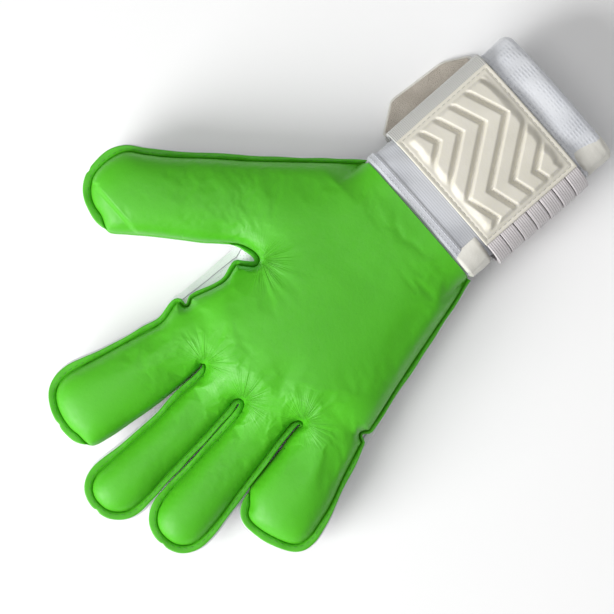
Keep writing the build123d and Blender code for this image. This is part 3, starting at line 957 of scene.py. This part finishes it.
lift = 0.3 * np.sin(edge.walked / 4.3)[:, None] + 0.12 * np.sin(edge.walked / 1.3)[:, None]
out, z = section(
    [(zero, 4.0), (zero + 0.3, 5.0), (zero + 0.9, 5.6), (w - 0.6, 5.9 + lift), (w - 0.05, 5.5 + lift),
     (w + 0.05, 4.6 + lift), (w - 0.25, 3.8 + lift), (w * 0.5, 3.6), (zero - 0.2, 3.4)],
    [(0.0, 4.0), (0.35, 3.3), (0.6, 2.4), (0.7, 1.2), (0.6, -0.2), (0.3, -1.6), (-0.1, -2.8), (-0.7, -3.8),
     (-1.6, -4.4)])
z = z + (4.2 - z) * 0.35 * near_wrist
front = Shape()
sheet(edge.seam, palm_height, "latex", 1.3, "palm_latex", front)
wrist = straight(edge.seam[-1], edge.seam[0], 1.3)
wrist_z = palm_height(wrist)
front.add_rows([np.column_stack([wrist[:, 0], wrist[:, 1] - back_off, wrist_z - down])
                for back_off, down in ((0.0, 0.0), (0.25, 0.25), (0.3, 0.6), (0.1, 1.3), (-0.6, 1.8))][::-1],
               "palm_latex")
front.add_rows(rows_of(edge.seam, edge.normal, out, z)[:, ::-1],
               [part_of(i, "latex") for i in range(count - 1)])
front.weld()


def settled(shape, sewn, moments=12):
    """How far the cloth solver moves the filled sheet: sewn at its rim, slightly too wide, pushed out."""
    points = np.array(shape.points)
    mesh = bpy.data.meshes.new("cloth_pass")
    mesh.from_pydata((points * MM).tolist(), [], shape.faces)
    body = bpy.data.objects.new("cloth_pass", mesh)
    bpy.context.scene.collection.objects.link(body)
    body.vertex_groups.new(name="sewn").add(np.flatnonzero(sewn).tolist(), 1.0, "REPLACE")
    cloth = body.modifiers.new("cloth", "CLOTH").settings
    for key, value in {
        "quality": 5, "mass": 0.001, "air_damping": 4.0, "tension_stiffness": 1500.0,
        "compression_stiffness": 1500.0, "shear_stiffness": 600.0, "bending_stiffness": 10.0,
        "tension_damping": 25.0, "compression_damping": 25.0, "shear_damping": 25.0, "shrink_min": -0.005,
        "vertex_group_mass": "sewn", "use_pressure": True, "uniform_pressure_force": 400.0,
    }.items():
        setattr(cloth, key, value)
    cloth.effector_weights.gravity = 0.0
    for moment in range(1, moments + 1):
        bpy.context.scene.frame_set(moment)
    solved = body.evaluated_get(bpy.context.evaluated_depsgraph_get()).data.vertices
    moved = np.empty(3 * len(points))
    solved.foreach_get("co", moved)
    bpy.context.scene.frame_set(1)
    bpy.data.objects.remove(body)
    return moved.reshape(-1, 3) / MM - points


at_rest = np.array(front.points)
free = smoothstep((front_body.reach(at_rest[:, :2]) - 2.5) / 8.0)
free *= smoothstep((at_rest[:, 1] - 2.0) / 10.0)
free[~inside(at_rest[:, :2], front_body.loop)] = 0.0
free[at_rest[:, 2] < SEAM_Z + 1.0] = 0.0
motion = settled(front, free <= 0.0)
length = np.linalg.norm(motion, axis=1)[:, None]
motion *= CLOTH_CAP * np.tanh(length / CLOTH_CAP) / np.maximum(length, 1e-6)
front.points = list(map(tuple, at_rest + motion * free[:, None]))

out, z = section(
    [(zero, -4.5), (zero + 0.25, -5.6), (zero + 0.9, -6.2), (w + 0.1, -6.4), (w + 0.8, -5.9),
     (w + 0.95, -5.0), (w + 0.6, -4.0), (w * 0.5, -3.7), (zero - 0.2, -3.6)],
    [(0.0, -4.5), (0.1, -4.7), (0.3, -4.9), (0.5, -4.8), (0.5, -4.5), (0.3, -4.3), (0.0, -4.2), (-0.4, -4.1),
     (-0.8, -4.0)])
back = Shape()
sheet(back_seam, back_height, "back", 2.0, "backhand", back)
back.add_rows(rows_of(back_seam, edge.back_normal, out, z), [part_of(i, "back") for i in range(count - 1)])
back.weld()

gusset = Shape()
steps = np.array([0.0, 0.15, 0.35, 0.5, 0.65, 0.85, 1.0])
inset = np.array([0.5, 1.0, 1.3, 1.4, 1.3, 1.0, 0.5])
top = edge.seam - edge.normal * 0.3
low = back_seam - edge.back_normal * 0.3
rows = []
for share, depth in zip(steps, inset):
    normal = edge.normal * (1 - share) + edge.back_normal * share
    plan = top * (1 - share) + low * share - normal * (depth - 0.5)
    rows.append(np.column_stack([plan, np.full(count, 3.7 - 7.9 * share)]))
gusset.add_rows(np.stack(rows, axis=1)[:, ::-1], [part_of(i, "gusset") for i in range(count - 1)])


# ---- stitches ----
def capsule_line(shape, points, normals, label, length, pitch, radius=0.28, lift=0.0, start=0.5):
    """Short raised stitches along a 3-D polyline."""
    points = np.asarray(points, float)
    walked = walk(points)
    at = start
    while at + length < walked[-1]:
        stations = at + length * np.array([0.0, 0.12, 0.5, 0.88, 1.0])
        centres = np.column_stack([np.interp(stations, walked, c) for c in points.T])
        ups = np.column_stack([np.interp(stations, walked, c) for c in np.asarray(normals).T])
        along = centres[-1] - centres[0]
        along /= np.linalg.norm(along) + 1e-9
        rows = []
        for centre, up, size in zip(centres, ups, (0.15, 0.8, 1.0, 0.8, 0.15)):
            up = up / (np.linalg.norm(up) + 1e-9)
            across = np.cross(along, up)
            ring = []
            for a in np.linspace(0, 2 * math.pi, 6, endpoint=False):
                height = up * (lift + radius * size * math.sin(a))
                ring.append(centre + height + across * radius * size * math.cos(a))
            rows.append(ring)
        shape.add_rows(np.array(rows), label, round_section=True)
        at += pitch


def stitch_border(shape, label, left, right, far, near, height, up, radius, lift):
    """Stitches along the four sides of a rectangle; height(x, y) gives the surface that they lie on."""
    corners = [(left, far), (right, far), (right, near), (left, near)]
    t = np.linspace(0, 1, 60)
    for (x0, y0), (x1, y1) in zip(corners, corners[1:] + corners[:1]):
        xs, ys = x0 + (x1 - x0) * t, y0 + (y1 - y0) * t
        line = np.column_stack([xs, ys, height(xs, ys)])
        capsule_line(shape, line, np.tile([0.0, 0.0, up], (60, 1)), (label, 1), 2.1, 3.0, radius, lift)


# ---- cuff ----
def cuff_section(angle, grow=0.0):
    """Point on the cuff's rounded section at an angle from +X, grown outward by some millimetres."""
    angle = np.asarray(angle, float)
    c, s = np.cos(angle), np.sin(angle)
    power = 2 / CUFF_POWER
    x = CUFF_HALF_WIDTH * np.sign(c) * np.abs(c) ** power
    z = CUFF_HALF_HEIGHT * np.sign(s) * np.abs(s) ** power
    nx = np.sign(c) * np.abs(c) ** (2 - power) / CUFF_HALF_WIDTH
    nz = np.sign(s) * np.abs(s) ** (2 - power) / CUFF_HALF_HEIGHT
    size = np.sqrt(nx**2 + nz**2)
    return np.stack([CUFF_CENTRE[0] + x + grow * nx / size, CUFF_CENTRE[1] + z + grow * nz / size], -1)


def even_angles(start, end, count):
    """Angles from start to end at even steps along the cuff's section."""
    fine = np.linspace(start, end, 2400)
    points = cuff_section(fine)
    walked = walk(points)
    return np.interp(np.linspace(0, walked[-1], count), walked, fine)


def cuff_wave(angles, y):
    """Soft unevenness of the worn knit."""
    return (0.35 * np.sin(3 * angles + y / 9) + 0.25 * np.sin(7 * angles - y / 5.3)
            + 0.18 * np.sin(11 * angles + y / 2.9 + 1))


def cuff_band(shape, label, start, end, profile, amount=1.0):
    """Part of the tube between two angles; profile gives (y, growth outward)."""
    angles = even_angles(start, end, 110)
    rows = []
    for y, grow in profile:
        plan = cuff_section(angles, grow + amount * cuff_wave(angles, y))
        rows.append(np.column_stack([plan[:, 0], np.full(len(angles), y), plan[:, 1]]))
    shape.add_rows(np.array(rows), label)


def cuff_stitches(shape, label, y, grow, lean, amount, length, pitch, radius):
    """A ring of stitches round the cuff, on its surface grown outward by some millimetres."""
    angles = even_angles(0.0, 2 * math.pi, 300)
    wave = amount * cuff_wave(angles, y)
    plan = cuff_section(angles, grow + wave)
    outward = cuff_section(angles, grow + lean + wave) - plan
    line = np.column_stack([plan[:, 0], np.full(300, y), plan[:, 1]])
    ups = np.column_stack([outward[:, 0], np.zeros(300), outward[:, 1]])
    capsule_line(shape, line, ups, (label, 1), length, pitch, radius)


def ribbed(y_from, y_to, grow, height, pitch, step=0.22):
    """A profile with fine knitted ribs."""
    ys = np.arange(y_from, y_to, -step)
    return [(y, grow + height * abs(math.sin(math.pi * (y - y_from) / pitch))) for y in ys] + [(y_to, grow)]


cuff = Shape()
FRONT_ARC = (0.0, math.pi)
BACK_ARC = (math.pi, 2 * math.pi)
for label, arc in (("cuff_palm_side", FRONT_ARC), ("cuff_back_side", BACK_ARC)):
    outer_side = [(2.5, -1.6), (0.5, -1.0)] + ribbed(-1.0, -70.0, -0.6, 0.025, 1.1, 0.275)
    cuff_band(cuff, label, *arc, outer_side)
    inner_side = [(y, -3.4) for y in np.linspace(-72, 6, 16)]
    cuff_band(cuff, label, *arc, inner_side)
cuff.weld()
tape = Shape()
tape_profile = [(-0.6, -0.6), (-0.9, -0.1), (-1.4, 0.1), (-2.0, 0.15), (-3.0, 0.12), (-4.2, 0.15),
                (-5.0, 0.05), (-5.5, -0.2), (-5.8, -0.6)]
cuff_band(tape, "wrist_tape", 0.0, 2 * math.pi, tape_profile)
for y_stitch in (-2.1, -4.4):
    cuff_stitches(tape, "wrist_tape", y_stitch, 0.2, 1.0, 1.0, 1.0, 2.0, 0.22)

hem = Shape()
hem_profile = [(-69.0, -0.4), (-69.4, 0.3), (-70.0, 0.75), (-71.0, 0.95), (-73.5, 0.8), (-76.0, 1.1),
               (-79.0, 1.35), (-82.0, 1.3), (-84.5, 1.1), (-86.0, 0.6), (-86.9, -0.3), (-87.0, -1.2),
               (-86.4, -2.1), (-85.0, -2.6), (-80.0, -2.9), (-74.0, -3.1), (-70.0, -3.2)]
cuff_band(hem, "cuff_hem", 0.0, 2 * math.pi, hem_profile, 1.3)
for y_stitch in (-70.9, -72.3):
    cuff_stitches(hem, "cuff_hem", y_stitch, 0.95, 1.05, 1.3, 1.6, 2.6, 0.2)


# ---- closed slabs that follow a surface ----
def slab(shape, label, xs, ys, top, thickness, edge_round=0.5):
    """A sheet with rounded edges over a grid; top(x, y) gives its upper surface."""
    xs = np.asarray(xs, float)
    ys = np.asarray(ys, float)
    gx, gy = np.meshgrid(xs, ys, indexing="ij")
    gap = np.minimum.reduce([gx - xs[0], xs[-1] - gx, gy - ys[0], ys[-1] - gy])
    drop = edge_round * (1 - dome(gap / edge_round))
    upper = top(gx, gy) - drop
    lower = top(gx, gy) - thickness
    nx, ny = gx.shape
    grid = np.stack([gx, gy, upper], -1)
    under = np.stack([gx, gy, lower], -1)
    points = np.concatenate([grid.reshape(-1, 3), under.reshape(-1, 3)])
    faces = []
    half = nx * ny
    for i in range(nx - 1):
        for j in range(ny - 1):
            a = i * ny + j
            faces.append((a, a + ny, a + ny + 1, a + 1))
            faces.append((half + a, half + a + 1, half + a + ny + 1, half + a + ny))
    rim = [i * ny for i in range(nx)] + [(nx - 1) * ny + j for j in range(1, ny)]
    rim += [i * ny + ny - 1 for i in range(nx - 2, -1, -1)] + [j for j in range(ny - 2, 0, -1)]
    for a, b in zip(rim, rim[1:] + rim[:1]):
        faces.append((b, a, half + a, half + b))
    shape.add(points, faces, [label] * len(faces))


def eased_grid(low, high, step):
    """Grid lines that are close together near both ends."""
    near = np.array([0.0, 0.08, 0.22, 0.42, 0.7])
    middle = np.linspace(low + 1.1, high - 1.1, max(2, int((high - low - 2.2) / step)))
    return np.concatenate([low + near, middle, high - near[::-1]])


# ---- strap: moulded panel, its base, elastic bands, edge binding ----
PANEL_HALF_WIDTH = 43.0
PANEL_TOP = 26.0
PANEL_MIDDLE_X = 1.8
PANEL_POWER = 3.0          # roundness of the panel's arch
STITCH_INSET = 1.9         # from the panel's edge to its stitches and their groove


def panel_surface(x):
    """Height of the arch that the panel follows over the cuff."""
    share = np.clip(np.abs((x - PANEL_MIDDLE_X) / PANEL_HALF_WIDTH), 0, 0.98)
    rise = PANEL_TOP - CUFF_CENTRE[1]
    return CUFF_CENTRE[1] + rise * (1 - share**PANEL_POWER) ** (1 / PANEL_POWER)


ZIGZAG = np.array([(-34.0, -27.0), (-28.3, -32.3), (-14.7, -27.7), (16.2, -56.3), (32.2, -49.3),
                   (38.0, -47.0)])
RIDGE_PITCH = 10.6
RIDGE_RISE = 2.1
STRAP_MIDDLE = -42.5


def ridge_height(x, y):
    """Moulded chevron ribs of the panel."""
    along = x - 0.33 * (y - STRAP_MIDDLE)
    bend = np.interp(along, ZIGZAG[:, 0], ZIGZAG[:, 1])
    phase = (y - bend) / RIDGE_PITCH
    phase = phase - np.round(phase)
    shape = smoothstep((0.49 - np.abs(phase)) / np.where(phase > 0, 0.15, 0.27))
    near = np.minimum(x - PANEL_ULNAR_X, PANEL_THUMB_X - x)
    far = np.minimum(y - STRAP_FAR, STRAP_NEAR - y)
    border = smoothstep((near - 3.4) / 2.0) * smoothstep((far - 3.2 - 1.6 * np.abs(phase)) / 4.2)
    corner = smoothstep((np.hypot(np.clip(9 - near, 0, 9), np.clip(9 - far, 0, 9)) - 9.5) / -3.0)
    return RIDGE_RISE * shape * border * corner


def panel_top(x, y):
    """Height of the panel's face: arch, ribs, sewn groove and a slight unevenness."""
    side = np.minimum.reduce([x - PANEL_ULNAR_X, PANEL_THUMB_X - x, y - STRAP_FAR, STRAP_NEAR - y])
    groove = 0.35 * np.exp(-((side - STITCH_INSET) / 0.5) ** 2)
    ripple = 0.12 * np.sin(x / 3.7 + 1) * np.sin(y / 4.3)
    return panel_surface(x) + ridge_height(x, y) - groove + ripple


panel = Shape()
panel_xs = eased_grid(PANEL_ULNAR_X, PANEL_THUMB_X, 0.42)
panel_ys = eased_grid(STRAP_FAR, STRAP_NEAR, 0.42)
slab(panel, "strap_panel", panel_xs, panel_ys, panel_top, 1.7)
stitch_border(panel, "strap_panel", PANEL_ULNAR_X + STITCH_INSET, PANEL_THUMB_X - STITCH_INSET,
              STRAP_FAR + STITCH_INSET, STRAP_NEAR - STITCH_INSET, panel_top, 1.0, 0.26, -0.02)

base = Shape()
slab(base, "strap_base", eased_grid(-29.0, 33.4, 1.6), eased_grid(-69.6, -15.4, 2.0),
     lambda x, y: panel_surface(x) - 1.6, 1.7, 0.5)

# the path that the bands follow from under the panel, round the ulnar side, onto the back
BAND_PATH = np.array([(-24.0, 20.6), (-27.5, 20.7), (-31.5, 20.2), (-35.0, 17.4), (-37.6, 12.8),
                      (-38.9, 7.0), (-39.1, 1.0), (-38.3, -5.0), (-36.2, -10.4), (-32.4, -14.3),
                      (-27.0, -16.0)])


def band_path(count):
    """Points along the bands' path, and its outward direction at each."""
    rows = catmull_rom(BAND_PATH, 0.2)
    wanted = np.linspace(0.0, 1.0, count) * (len(rows) - 1)
    points = np.column_stack([np.interp(wanted, np.arange(len(rows)), c) for c in rows.T])
    tangent = np.gradient(points, axis=0)
    tangent /= np.linalg.norm(tangent, axis=1)[:, None]
    return points, np.column_stack([tangent[:, 1], -tangent[:, 0]])


bands = Shape()
BAND_COUNT = 7
band_pitch = (STRAP_NEAR - STRAP_FAR) / BAND_COUNT
path, path_out = band_path(54)
for number in range(BAND_COUNT):
    y_low = STRAP_FAR + number * band_pitch
    across = np.array([0.0, 0.05, 0.2, 0.5, 1.2, 2.4, 3.6, 4.8, 6.0, 6.7, 7.0, 7.15, 7.2])
    across = across / 7.5 * band_pitch
    rise = np.array([-0.8, 0.25, 0.6, 0.75, 0.8, 0.85, 0.9, 0.95, 1.0, 1.0, 0.9, 0.55, -0.8])
    rows = []
    for k, (point, out_dir) in enumerate(zip(path, path_out)):
        bulge = 0.25 * math.sin(k / 4.0 + number)
        section_rows = []
        for a, r in zip(across, rise):
            p = point + out_dir * (r + 0.2 + bulge * 0.3)
            section_rows.append((p[0], y_low + a, p[1]))
        for a in across[::-1]:
            p = point - out_dir * 0.9
            section_rows.append((p[0], y_low + a, p[1]))
        rows.append(section_rows)
    bands.add_rows(np.array(rows), "elastic_bands", round_section=True)

# the knit binding on the panel's thumb edge, folded over the cuff's side
binding = Shape()
BINDING_PATH = np.array([(31.0, 22.0), (32.6, 22.6), (34.6, 22.4), (36.8, 21.0), (38.6, 18.2), (39.4, 14.2),
                         (39.0, 9.5), (37.6, 5.5)])
rows_2d = catmull_rom(BINDING_PATH, 0.4)
tangent = np.gradient(rows_2d, axis=0)
tangent /= np.linalg.norm(tangent, axis=1)[:, None]
outside = np.column_stack([-tangent[:, 1], tangent[:, 0]])
binding_ys = eased_grid(STRAP_FAR - 0.2, STRAP_NEAR + 0.2, 1.6)
side = np.minimum(binding_ys - binding_ys[0], binding_ys[-1] - binding_ys)
drop = 0.6 * (1 - dome(side / 0.6))
rows = []
for point, out_dir in zip(rows_2d, outside):
    upper = [(point[0] - out_dir[0] * d, y, point[1] - out_dir[1] * d) for y, d in zip(binding_ys, drop)]
    under = [(point[0] - out_dir[0] * 1.6, y, point[1] - out_dir[1] * 1.6) for y in binding_ys[::-1]]
    rows.append(upper + under)
binding.add_rows(np.array(rows), "strap_edge_binding", round_section=True)

# ---- strap's back, hook tape, loop patch and tab ----
strap_back = Shape()
slab(strap_back, "strap_back", eased_grid(-33.5, 38.8, 1.6), eased_grid(STRAP_FAR, STRAP_NEAR, 1.8),
     lambda x, y: -15.9 - 0.05 * np.cos(x / 3), 1.5, 0.5)
stitch_border(strap_back, "strap_back", -31.3, 36.6, STRAP_FAR + 2.2, STRAP_NEAR - 2.2,
              lambda x, y: np.full_like(x, -17.38), -1.0, 0.24, 0.0)
tapes = Shape()
slab(tapes, "hook_tape", eased_grid(-8.0, 35.0, 1.4), eased_grid(-66.0, -19.0, 1.4),
     lambda x, y: -15.05 + 0 * x, 0.9, 0.3)
slab(tapes, "loop_patch", eased_grid(-8.0, 31.0, 1.4), eased_grid(-66.0, -19.0, 1.4),
     lambda x, y: cuff_height(x, -1) + 0.3, 0.9, 0.3)

TAB = np.array([(39.2, -15.4), (41.0, -15.6), (50.4, -28.4), (50.6, -31.0), (48.6, -57.4), (47.6, -60.2),
                (42.4, -69.6), (41.2, -70.7), (39.2, -70.6)])


def tab_half(y, grow=0.0):
    """The tab's outer x at each y."""
    return np.interp(-y, -TAB[1:-1, 1], TAB[1:-1, 0]) - grow


def add_closed(shape, label, rows):
    """A capped solid through closed sections, each its upper points and then its lower ones back."""
    shape.add_rows(rows[::-1], label, round_section=True)
    half = rows.shape[1] // 2
    cap = [(i, i + 1, 2 * half - 2 - i, 2 * half - 1 - i) for i in range(half - 1)]
    for end in (rows[0], rows[-1][::-1]):
        shape.add(end, cap, [label] * len(cap))


tab = Shape()
TAB_LAYERS = [("tab_shell", 39.0, 0.0, -15.5, 1.7, -15.6, -70.7),
              ("tab_hook_tape", 39.6, 0.9, -14.6, 1.0, -17.0, -69.0)]
for label, x_in, grow, top_z, thick, near, far in TAB_LAYERS:
    ys = eased_grid(far, near, 0.9)
    fractions = np.array([0, 0.02, 0.08, 0.2, 0.35, 0.5, 0.65, 0.8, 0.88, 0.94, 0.98, 1.0])
    rows_top, rows_under = [], []
    for y in ys:
        x_out = tab_half(y, grow)
        end_gap = min(y - far, near - y)
        xs = x_in + fractions * (max(x_out, x_in + 0.3) - x_in)
        gap = np.minimum(xs[-1] - xs, end_gap)
        d = 0.5 * (1 - dome(gap / 0.5))
        curl = 0.9 * smoothstep((xs - 40) / 10) * np.sin((y + 15) / 55 * math.pi) * -1.0
        ripple = 0.15 * np.sin(xs / 1.7 + y / 3.3)
        y_row = np.full_like(xs, y)
        rows_top.append(np.column_stack([xs, y_row, top_z - d - curl * 0.8 + ripple]))
        rows_under.append(np.column_stack([xs, y_row, top_z - thick - curl * 0.8 + ripple])[::-1])
    add_closed(tab, label, np.concatenate([np.array(rows_top), np.array(rows_under)], axis=1))
tab.weld()

# ---- cream side-seam strips at the wrist and the mouth, on the ulnar side ----
trim = Shape()
for y_near, y_far, reach in ((-0.4, -13.8, 2.6), (-71.0, -87.3, 2.8)):
    ys = np.linspace(y_near, y_far, 26)
    rows = []
    for i, y in enumerate(ys):
        end = min(i, 25 - i) / 3.0
        swell = math.sqrt(min(1.0, max(0.02, end)))
        angles = np.linspace(math.radians(122), math.radians(200), 21)
        wrinkle = 0.08 * math.sin(y * 0.6) + 0.02 * math.sin(y * 1.7 + 1)
        ring = []
        for k, angle in enumerate(angles):
            ridge = math.sin(math.pi * k / 20) ** 0.5
            grow = -0.7 + (reach + wrinkle) * ridge * swell
            if 8 < k < 11:
                grow -= 0.5
            px, pz = cuff_section(angle, grow)
            ring.append((px, y, pz))
        rows.append(ring)
    trim.add_rows(np.array(rows), "seam_trim")

# ---- punch panel on the back and the foam under the palm ----
punch = Shape()
PUNCH_NEAR = 24.0
PUNCH_FAR = 92.0
CHANNEL_PITCH = 11.0
LOWEST = -17.9             # just above the floor


def punch_outline(y):
    """Left and right x of the knuckle pad at each y."""
    stations = [PUNCH_NEAR, 30, 50, 70, 84, PUNCH_FAR]
    left = np.interp(y, stations, [-30.5, -36.0, -43.0, -50.0, -51.0, -46.0])
    return left, np.interp(y, stations, [24.0, 29.0, 33.5, 37.0, 37.5, 33.0])


ys = eased_grid(PUNCH_NEAR, PUNCH_FAR, 1.0)
fractions = np.concatenate([[0, 0.006, 0.015, 0.03], np.linspace(0.05, 0.95, 70), [0.97, 0.985, 0.994, 1.0]])
grid = []
for y in ys:
    left, right = punch_outline(y)
    xs = left + fractions * (right - left)
    grid.append(np.column_stack([xs, np.full_like(xs, y)]))
grid = np.array(grid)
surface = back_height(grid.reshape(-1, 2)).reshape(grid.shape[:2])
gx, gy = grid[..., 0], grid[..., 1]
left, right = punch_outline(gy)
gap = np.minimum.reduce([gx - left, right - gx, gy - PUNCH_NEAR, PUNCH_FAR - gy])
swell = 1.5 * dome(gap / 2.2)
phase = (gx * 0.22 + gy - PUNCH_NEAR) / CHANNEL_PITCH
channel = np.abs(phase - np.round(phase)) * CHANNEL_PITCH
swell -= 0.9 * np.exp(-(channel / 0.9) ** 2) * smoothstep((gap - 3) / 3)
z = np.maximum(surface - swell + 0.25, LOWEST)
rows = np.concatenate([grid, z[..., None]], axis=2)
punch.add_rows(rows, "punch_panel")
line_y = np.linspace(26.5, 89.5, 90)
for sign in (0, 1):
    xs = punch_outline(line_y)[sign] + (3.0 if sign == 0 else -3.0)
    zs = np.maximum(back_height(np.column_stack([xs, line_y])) - 1.3, LOWEST)
    line = np.column_stack([xs, line_y, zs])
    capsule_line(punch, line, np.tile([0.0, 0.0, -1.0], (90, 1)), ("punch_panel", 1), 2.2, 3.4, 0.28, 0.0)

backing = Shape()
ys = np.linspace(6.0, 96.0, 46)
grid = []
for y in ys:
    left = np.interp(y, [6, 60, 96], [-30.0, -44.0, -46.0])
    right = np.interp(y, [6, 40, 60, 96], [30.0, 44.0, 33.0, 33.0])
    grid.append([(x, y) for x in np.linspace(left, right, 40)])
grid = np.array(grid)
height = palm_height(grid.reshape(-1, 2)).reshape(grid.shape[:2])
upper = np.concatenate([grid, (height - 2.6)[..., None]], axis=2)
under = np.concatenate([grid, (height - 4.4)[..., None]], axis=2)
add_closed(backing, "palm_backing", np.concatenate([upper, under[:, ::-1]], axis=1))

# ---- stitches along the palm's rim ----
rim_thread = Shape()
middle = edge.seam + edge.normal * np.minimum(1.35, 0.5 * edge.width)[:, None]
rim_z = 5.7 + 0.3 * lift[:, 0]
start = 0
for i in range(count - 1):
    label = part_of(i, "latex")
    leaving = part_of(min(i + 1, count - 2), "latex") != label or edge.width[i] < 1.3
    if leaving or i == count - 2:
        if i - start > 5:
            line = np.column_stack([middle[start:i + 1], rim_z[start:i + 1]])
            ups = np.tile([0.0, 0.0, 1.0], (len(line), 1))
            capsule_line(rim_thread, line, ups, (part_of(start, "latex"), 1), 1.9, 3.1, 0.2, 0.0, 0.3)
        start = i + 1
front.add(rim_thread.points, rim_thread.faces, rim_thread.labels)

# ---- pieces: some ride on one body, the rest are baked in place ----
made = {}
for shape, *materials in (
        (front, GREEN, GREEN_THREAD), (back, FOAM, GREY_THREAD), (gusset, MESH), (cuff, KNIT),
        (tape, TAPE, WHITE_THREAD), (hem, HEM, WHITE_THREAD), (panel, CREAM, GREY_THREAD), (base, BINDING),
        (bands, ELASTIC), (binding, BINDING), (strap_back, BINDING, GREY_THREAD), (tapes, HOOK), (tab, HOOK),
        (trim, TRIM), (punch, FOAM, GREY_THREAD), (backing, FOAM)):
    made.update(shape.pieces(*materials))
made["loop_patch"].data.materials[0] = LOOP
made["tab_shell"].data.materials[0] = TRIM

SLOTS = {"latex": "palm_latex", "back": "back_foam", "gusset": "gusset_mesh"}
HAND_SLOTS = {
    "palm_latex": "palm_latex", "backhand": "back_foam", "punch_panel": "back_foam",
    "palm_backing": "foam_backing",
    "radial_gusset": "gusset_mesh", "web_gusset": "gusset_mesh", "ulnar_gusset": "gusset_mesh",
    "finger_webs": "gusset_mesh", "cuff_palm_side": "cuff_knit", "cuff_back_side": "cuff_knit",
    "cuff_hem": "cuff_knit", "wrist_tape": "cuff_knit", "loop_patch": "hook_loop", "seam_trim": "strap_trim",
    "strap_edge_binding": "strap_trim",
}
STRAP_SLOTS = {
    "strap_base": "strap_trim", "strap_panel": "strap_latex", "elastic_bands": "strap_elastic",
    "strap_back": "strap_trim", "hook_tape": "hook_loop", "tab_shell": "strap_trim",
    "tab_hook_tape": "hook_loop",
}


for name in ORDER:
    stall = STALLS[name]
    a, b = STALL_ENDS[name]
    ends = np.array([edge.seam[a], edge.seam[b], edge.outer[a], edge.outer[b]])
    first, last = SPLIT_ENDS[name]
    direction = np.array([math.sin(math.radians(stall.bend_lean)), math.cos(math.radians(stall.bend_lean))])
    begin = (ends @ direction).max() + 0.3
    split_low = (np.array([edge.seam[first], edge.seam[last]]) @ direction).min() - 0.3
    end = min(split_low, begin + stall.bend_length)
    middle_start = stall.plan(MID_HINGE[name] - MID_BEND, 0)
    middle_end = stall.plan(MID_HINGE[name] + MID_BEND, 0)
    for kind, slot in SLOTS.items():
        lower, upper = made[f"{name}_base_{kind}"], made[f"{name}_tip_{kind}"]
        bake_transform(lower)
        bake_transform(upper)
        for piece in (lower, upper):
            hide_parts(piece.name.removesuffix("_form"))
for name, slot in HAND_SLOTS.items():
    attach(made[name], "hand")
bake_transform(made["strap_panel"])
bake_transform(made["strap_base"])
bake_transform(made["elastic_bands"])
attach(made["strap_back"], "strap_back")
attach(made["hook_tape"], "strap_back")
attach(made["tab_shell"], "strap_tab")
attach(made["tab_hook_tape"], "strap_tab")
for name in list(HAND_SLOTS) + list(STRAP_SLOTS):
    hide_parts(name)


# ---- camera, light and floor ----
def area_light(name, position, size, power):
    """A round soft light that points at the glove."""
    data = bpy.data.lights.new(name, "AREA")
    data.shape = "DISK"
    data.size = size
    data.energy = power
    lamp = bpy.data.objects.new(name, data)
    bpy.context.scene.collection.objects.link(lamp)
    lamp.location = position
    lamp.rotation_mode = "QUATERNION"
    lamp.rotation_quaternion = (AIM - position).to_track_quat("-Z", "Y")


RIGHT = Vector((-0.66, -0.75, 0.0)).normalized()
UP = Vector((0.75, -0.66, 0.0)).normalized()
AIM = placed(3.7, 64.8, 10.0)
DISTANCE = 1.25
camera_data = bpy.data.cameras.new("camera")
camera_data.sensor_width = 36.0
camera_data.lens = 36.0 * DISTANCE / 0.2824
camera = bpy.data.objects.new("camera", camera_data)
bpy.context.scene.collection.objects.link(camera)
camera.location = AIM + Vector((0, 0, DISTANCE))
camera.rotation_mode = "QUATERNION"
camera.rotation_quaternion = Matrix((RIGHT, UP, Vector((0, 0, 1)))).transposed().to_quaternion()
camera_data.clip_end = 20.0
bpy.context.scene.camera = camera
bpy.context.scene.view_settings.view_transform = "Standard"

floor_mesh = bpy.data.meshes.new("floor")
floor_mesh.from_pydata([(-3, -3, 0), (3, -3, 0), (3, 3, 0), (-3, 3, 0)], [], [(0, 1, 2, 3)])
floor = bpy.data.objects.new("floor", floor_mesh)
bpy.context.scene.collection.objects.link(floor)
floor_finish = Finish("floor_white", linear(248, 248, 248), 0.9)
floor_finish.raise_by(floor_finish.noise(300), 0.0001, 0.1)
floor_mesh.materials.append(floor_finish.material)

world = bpy.data.worlds.new("studio")
world.use_nodes = True
world.node_tree.nodes["Background"].inputs["Color"].default_value = (1, 1, 1, 1)
world.node_tree.nodes["Background"].inputs["Strength"].default_value = 0.25
bpy.context.scene.world = world
area_light("key", AIM - RIGHT * 1.8 - UP * 1.2 + Vector((0, 0, 1.12)), 1.8, 80.0)
area_light("front", AIM + UP * 0.05 - RIGHT * 0.2 + Vector((0, 0, 1.15)), 0.8, 3.4)
area_light("side", AIM + RIGHT * 0.7 + UP * 0.6 + Vector((0, 0, 0.7)), 0.6, 1.0)
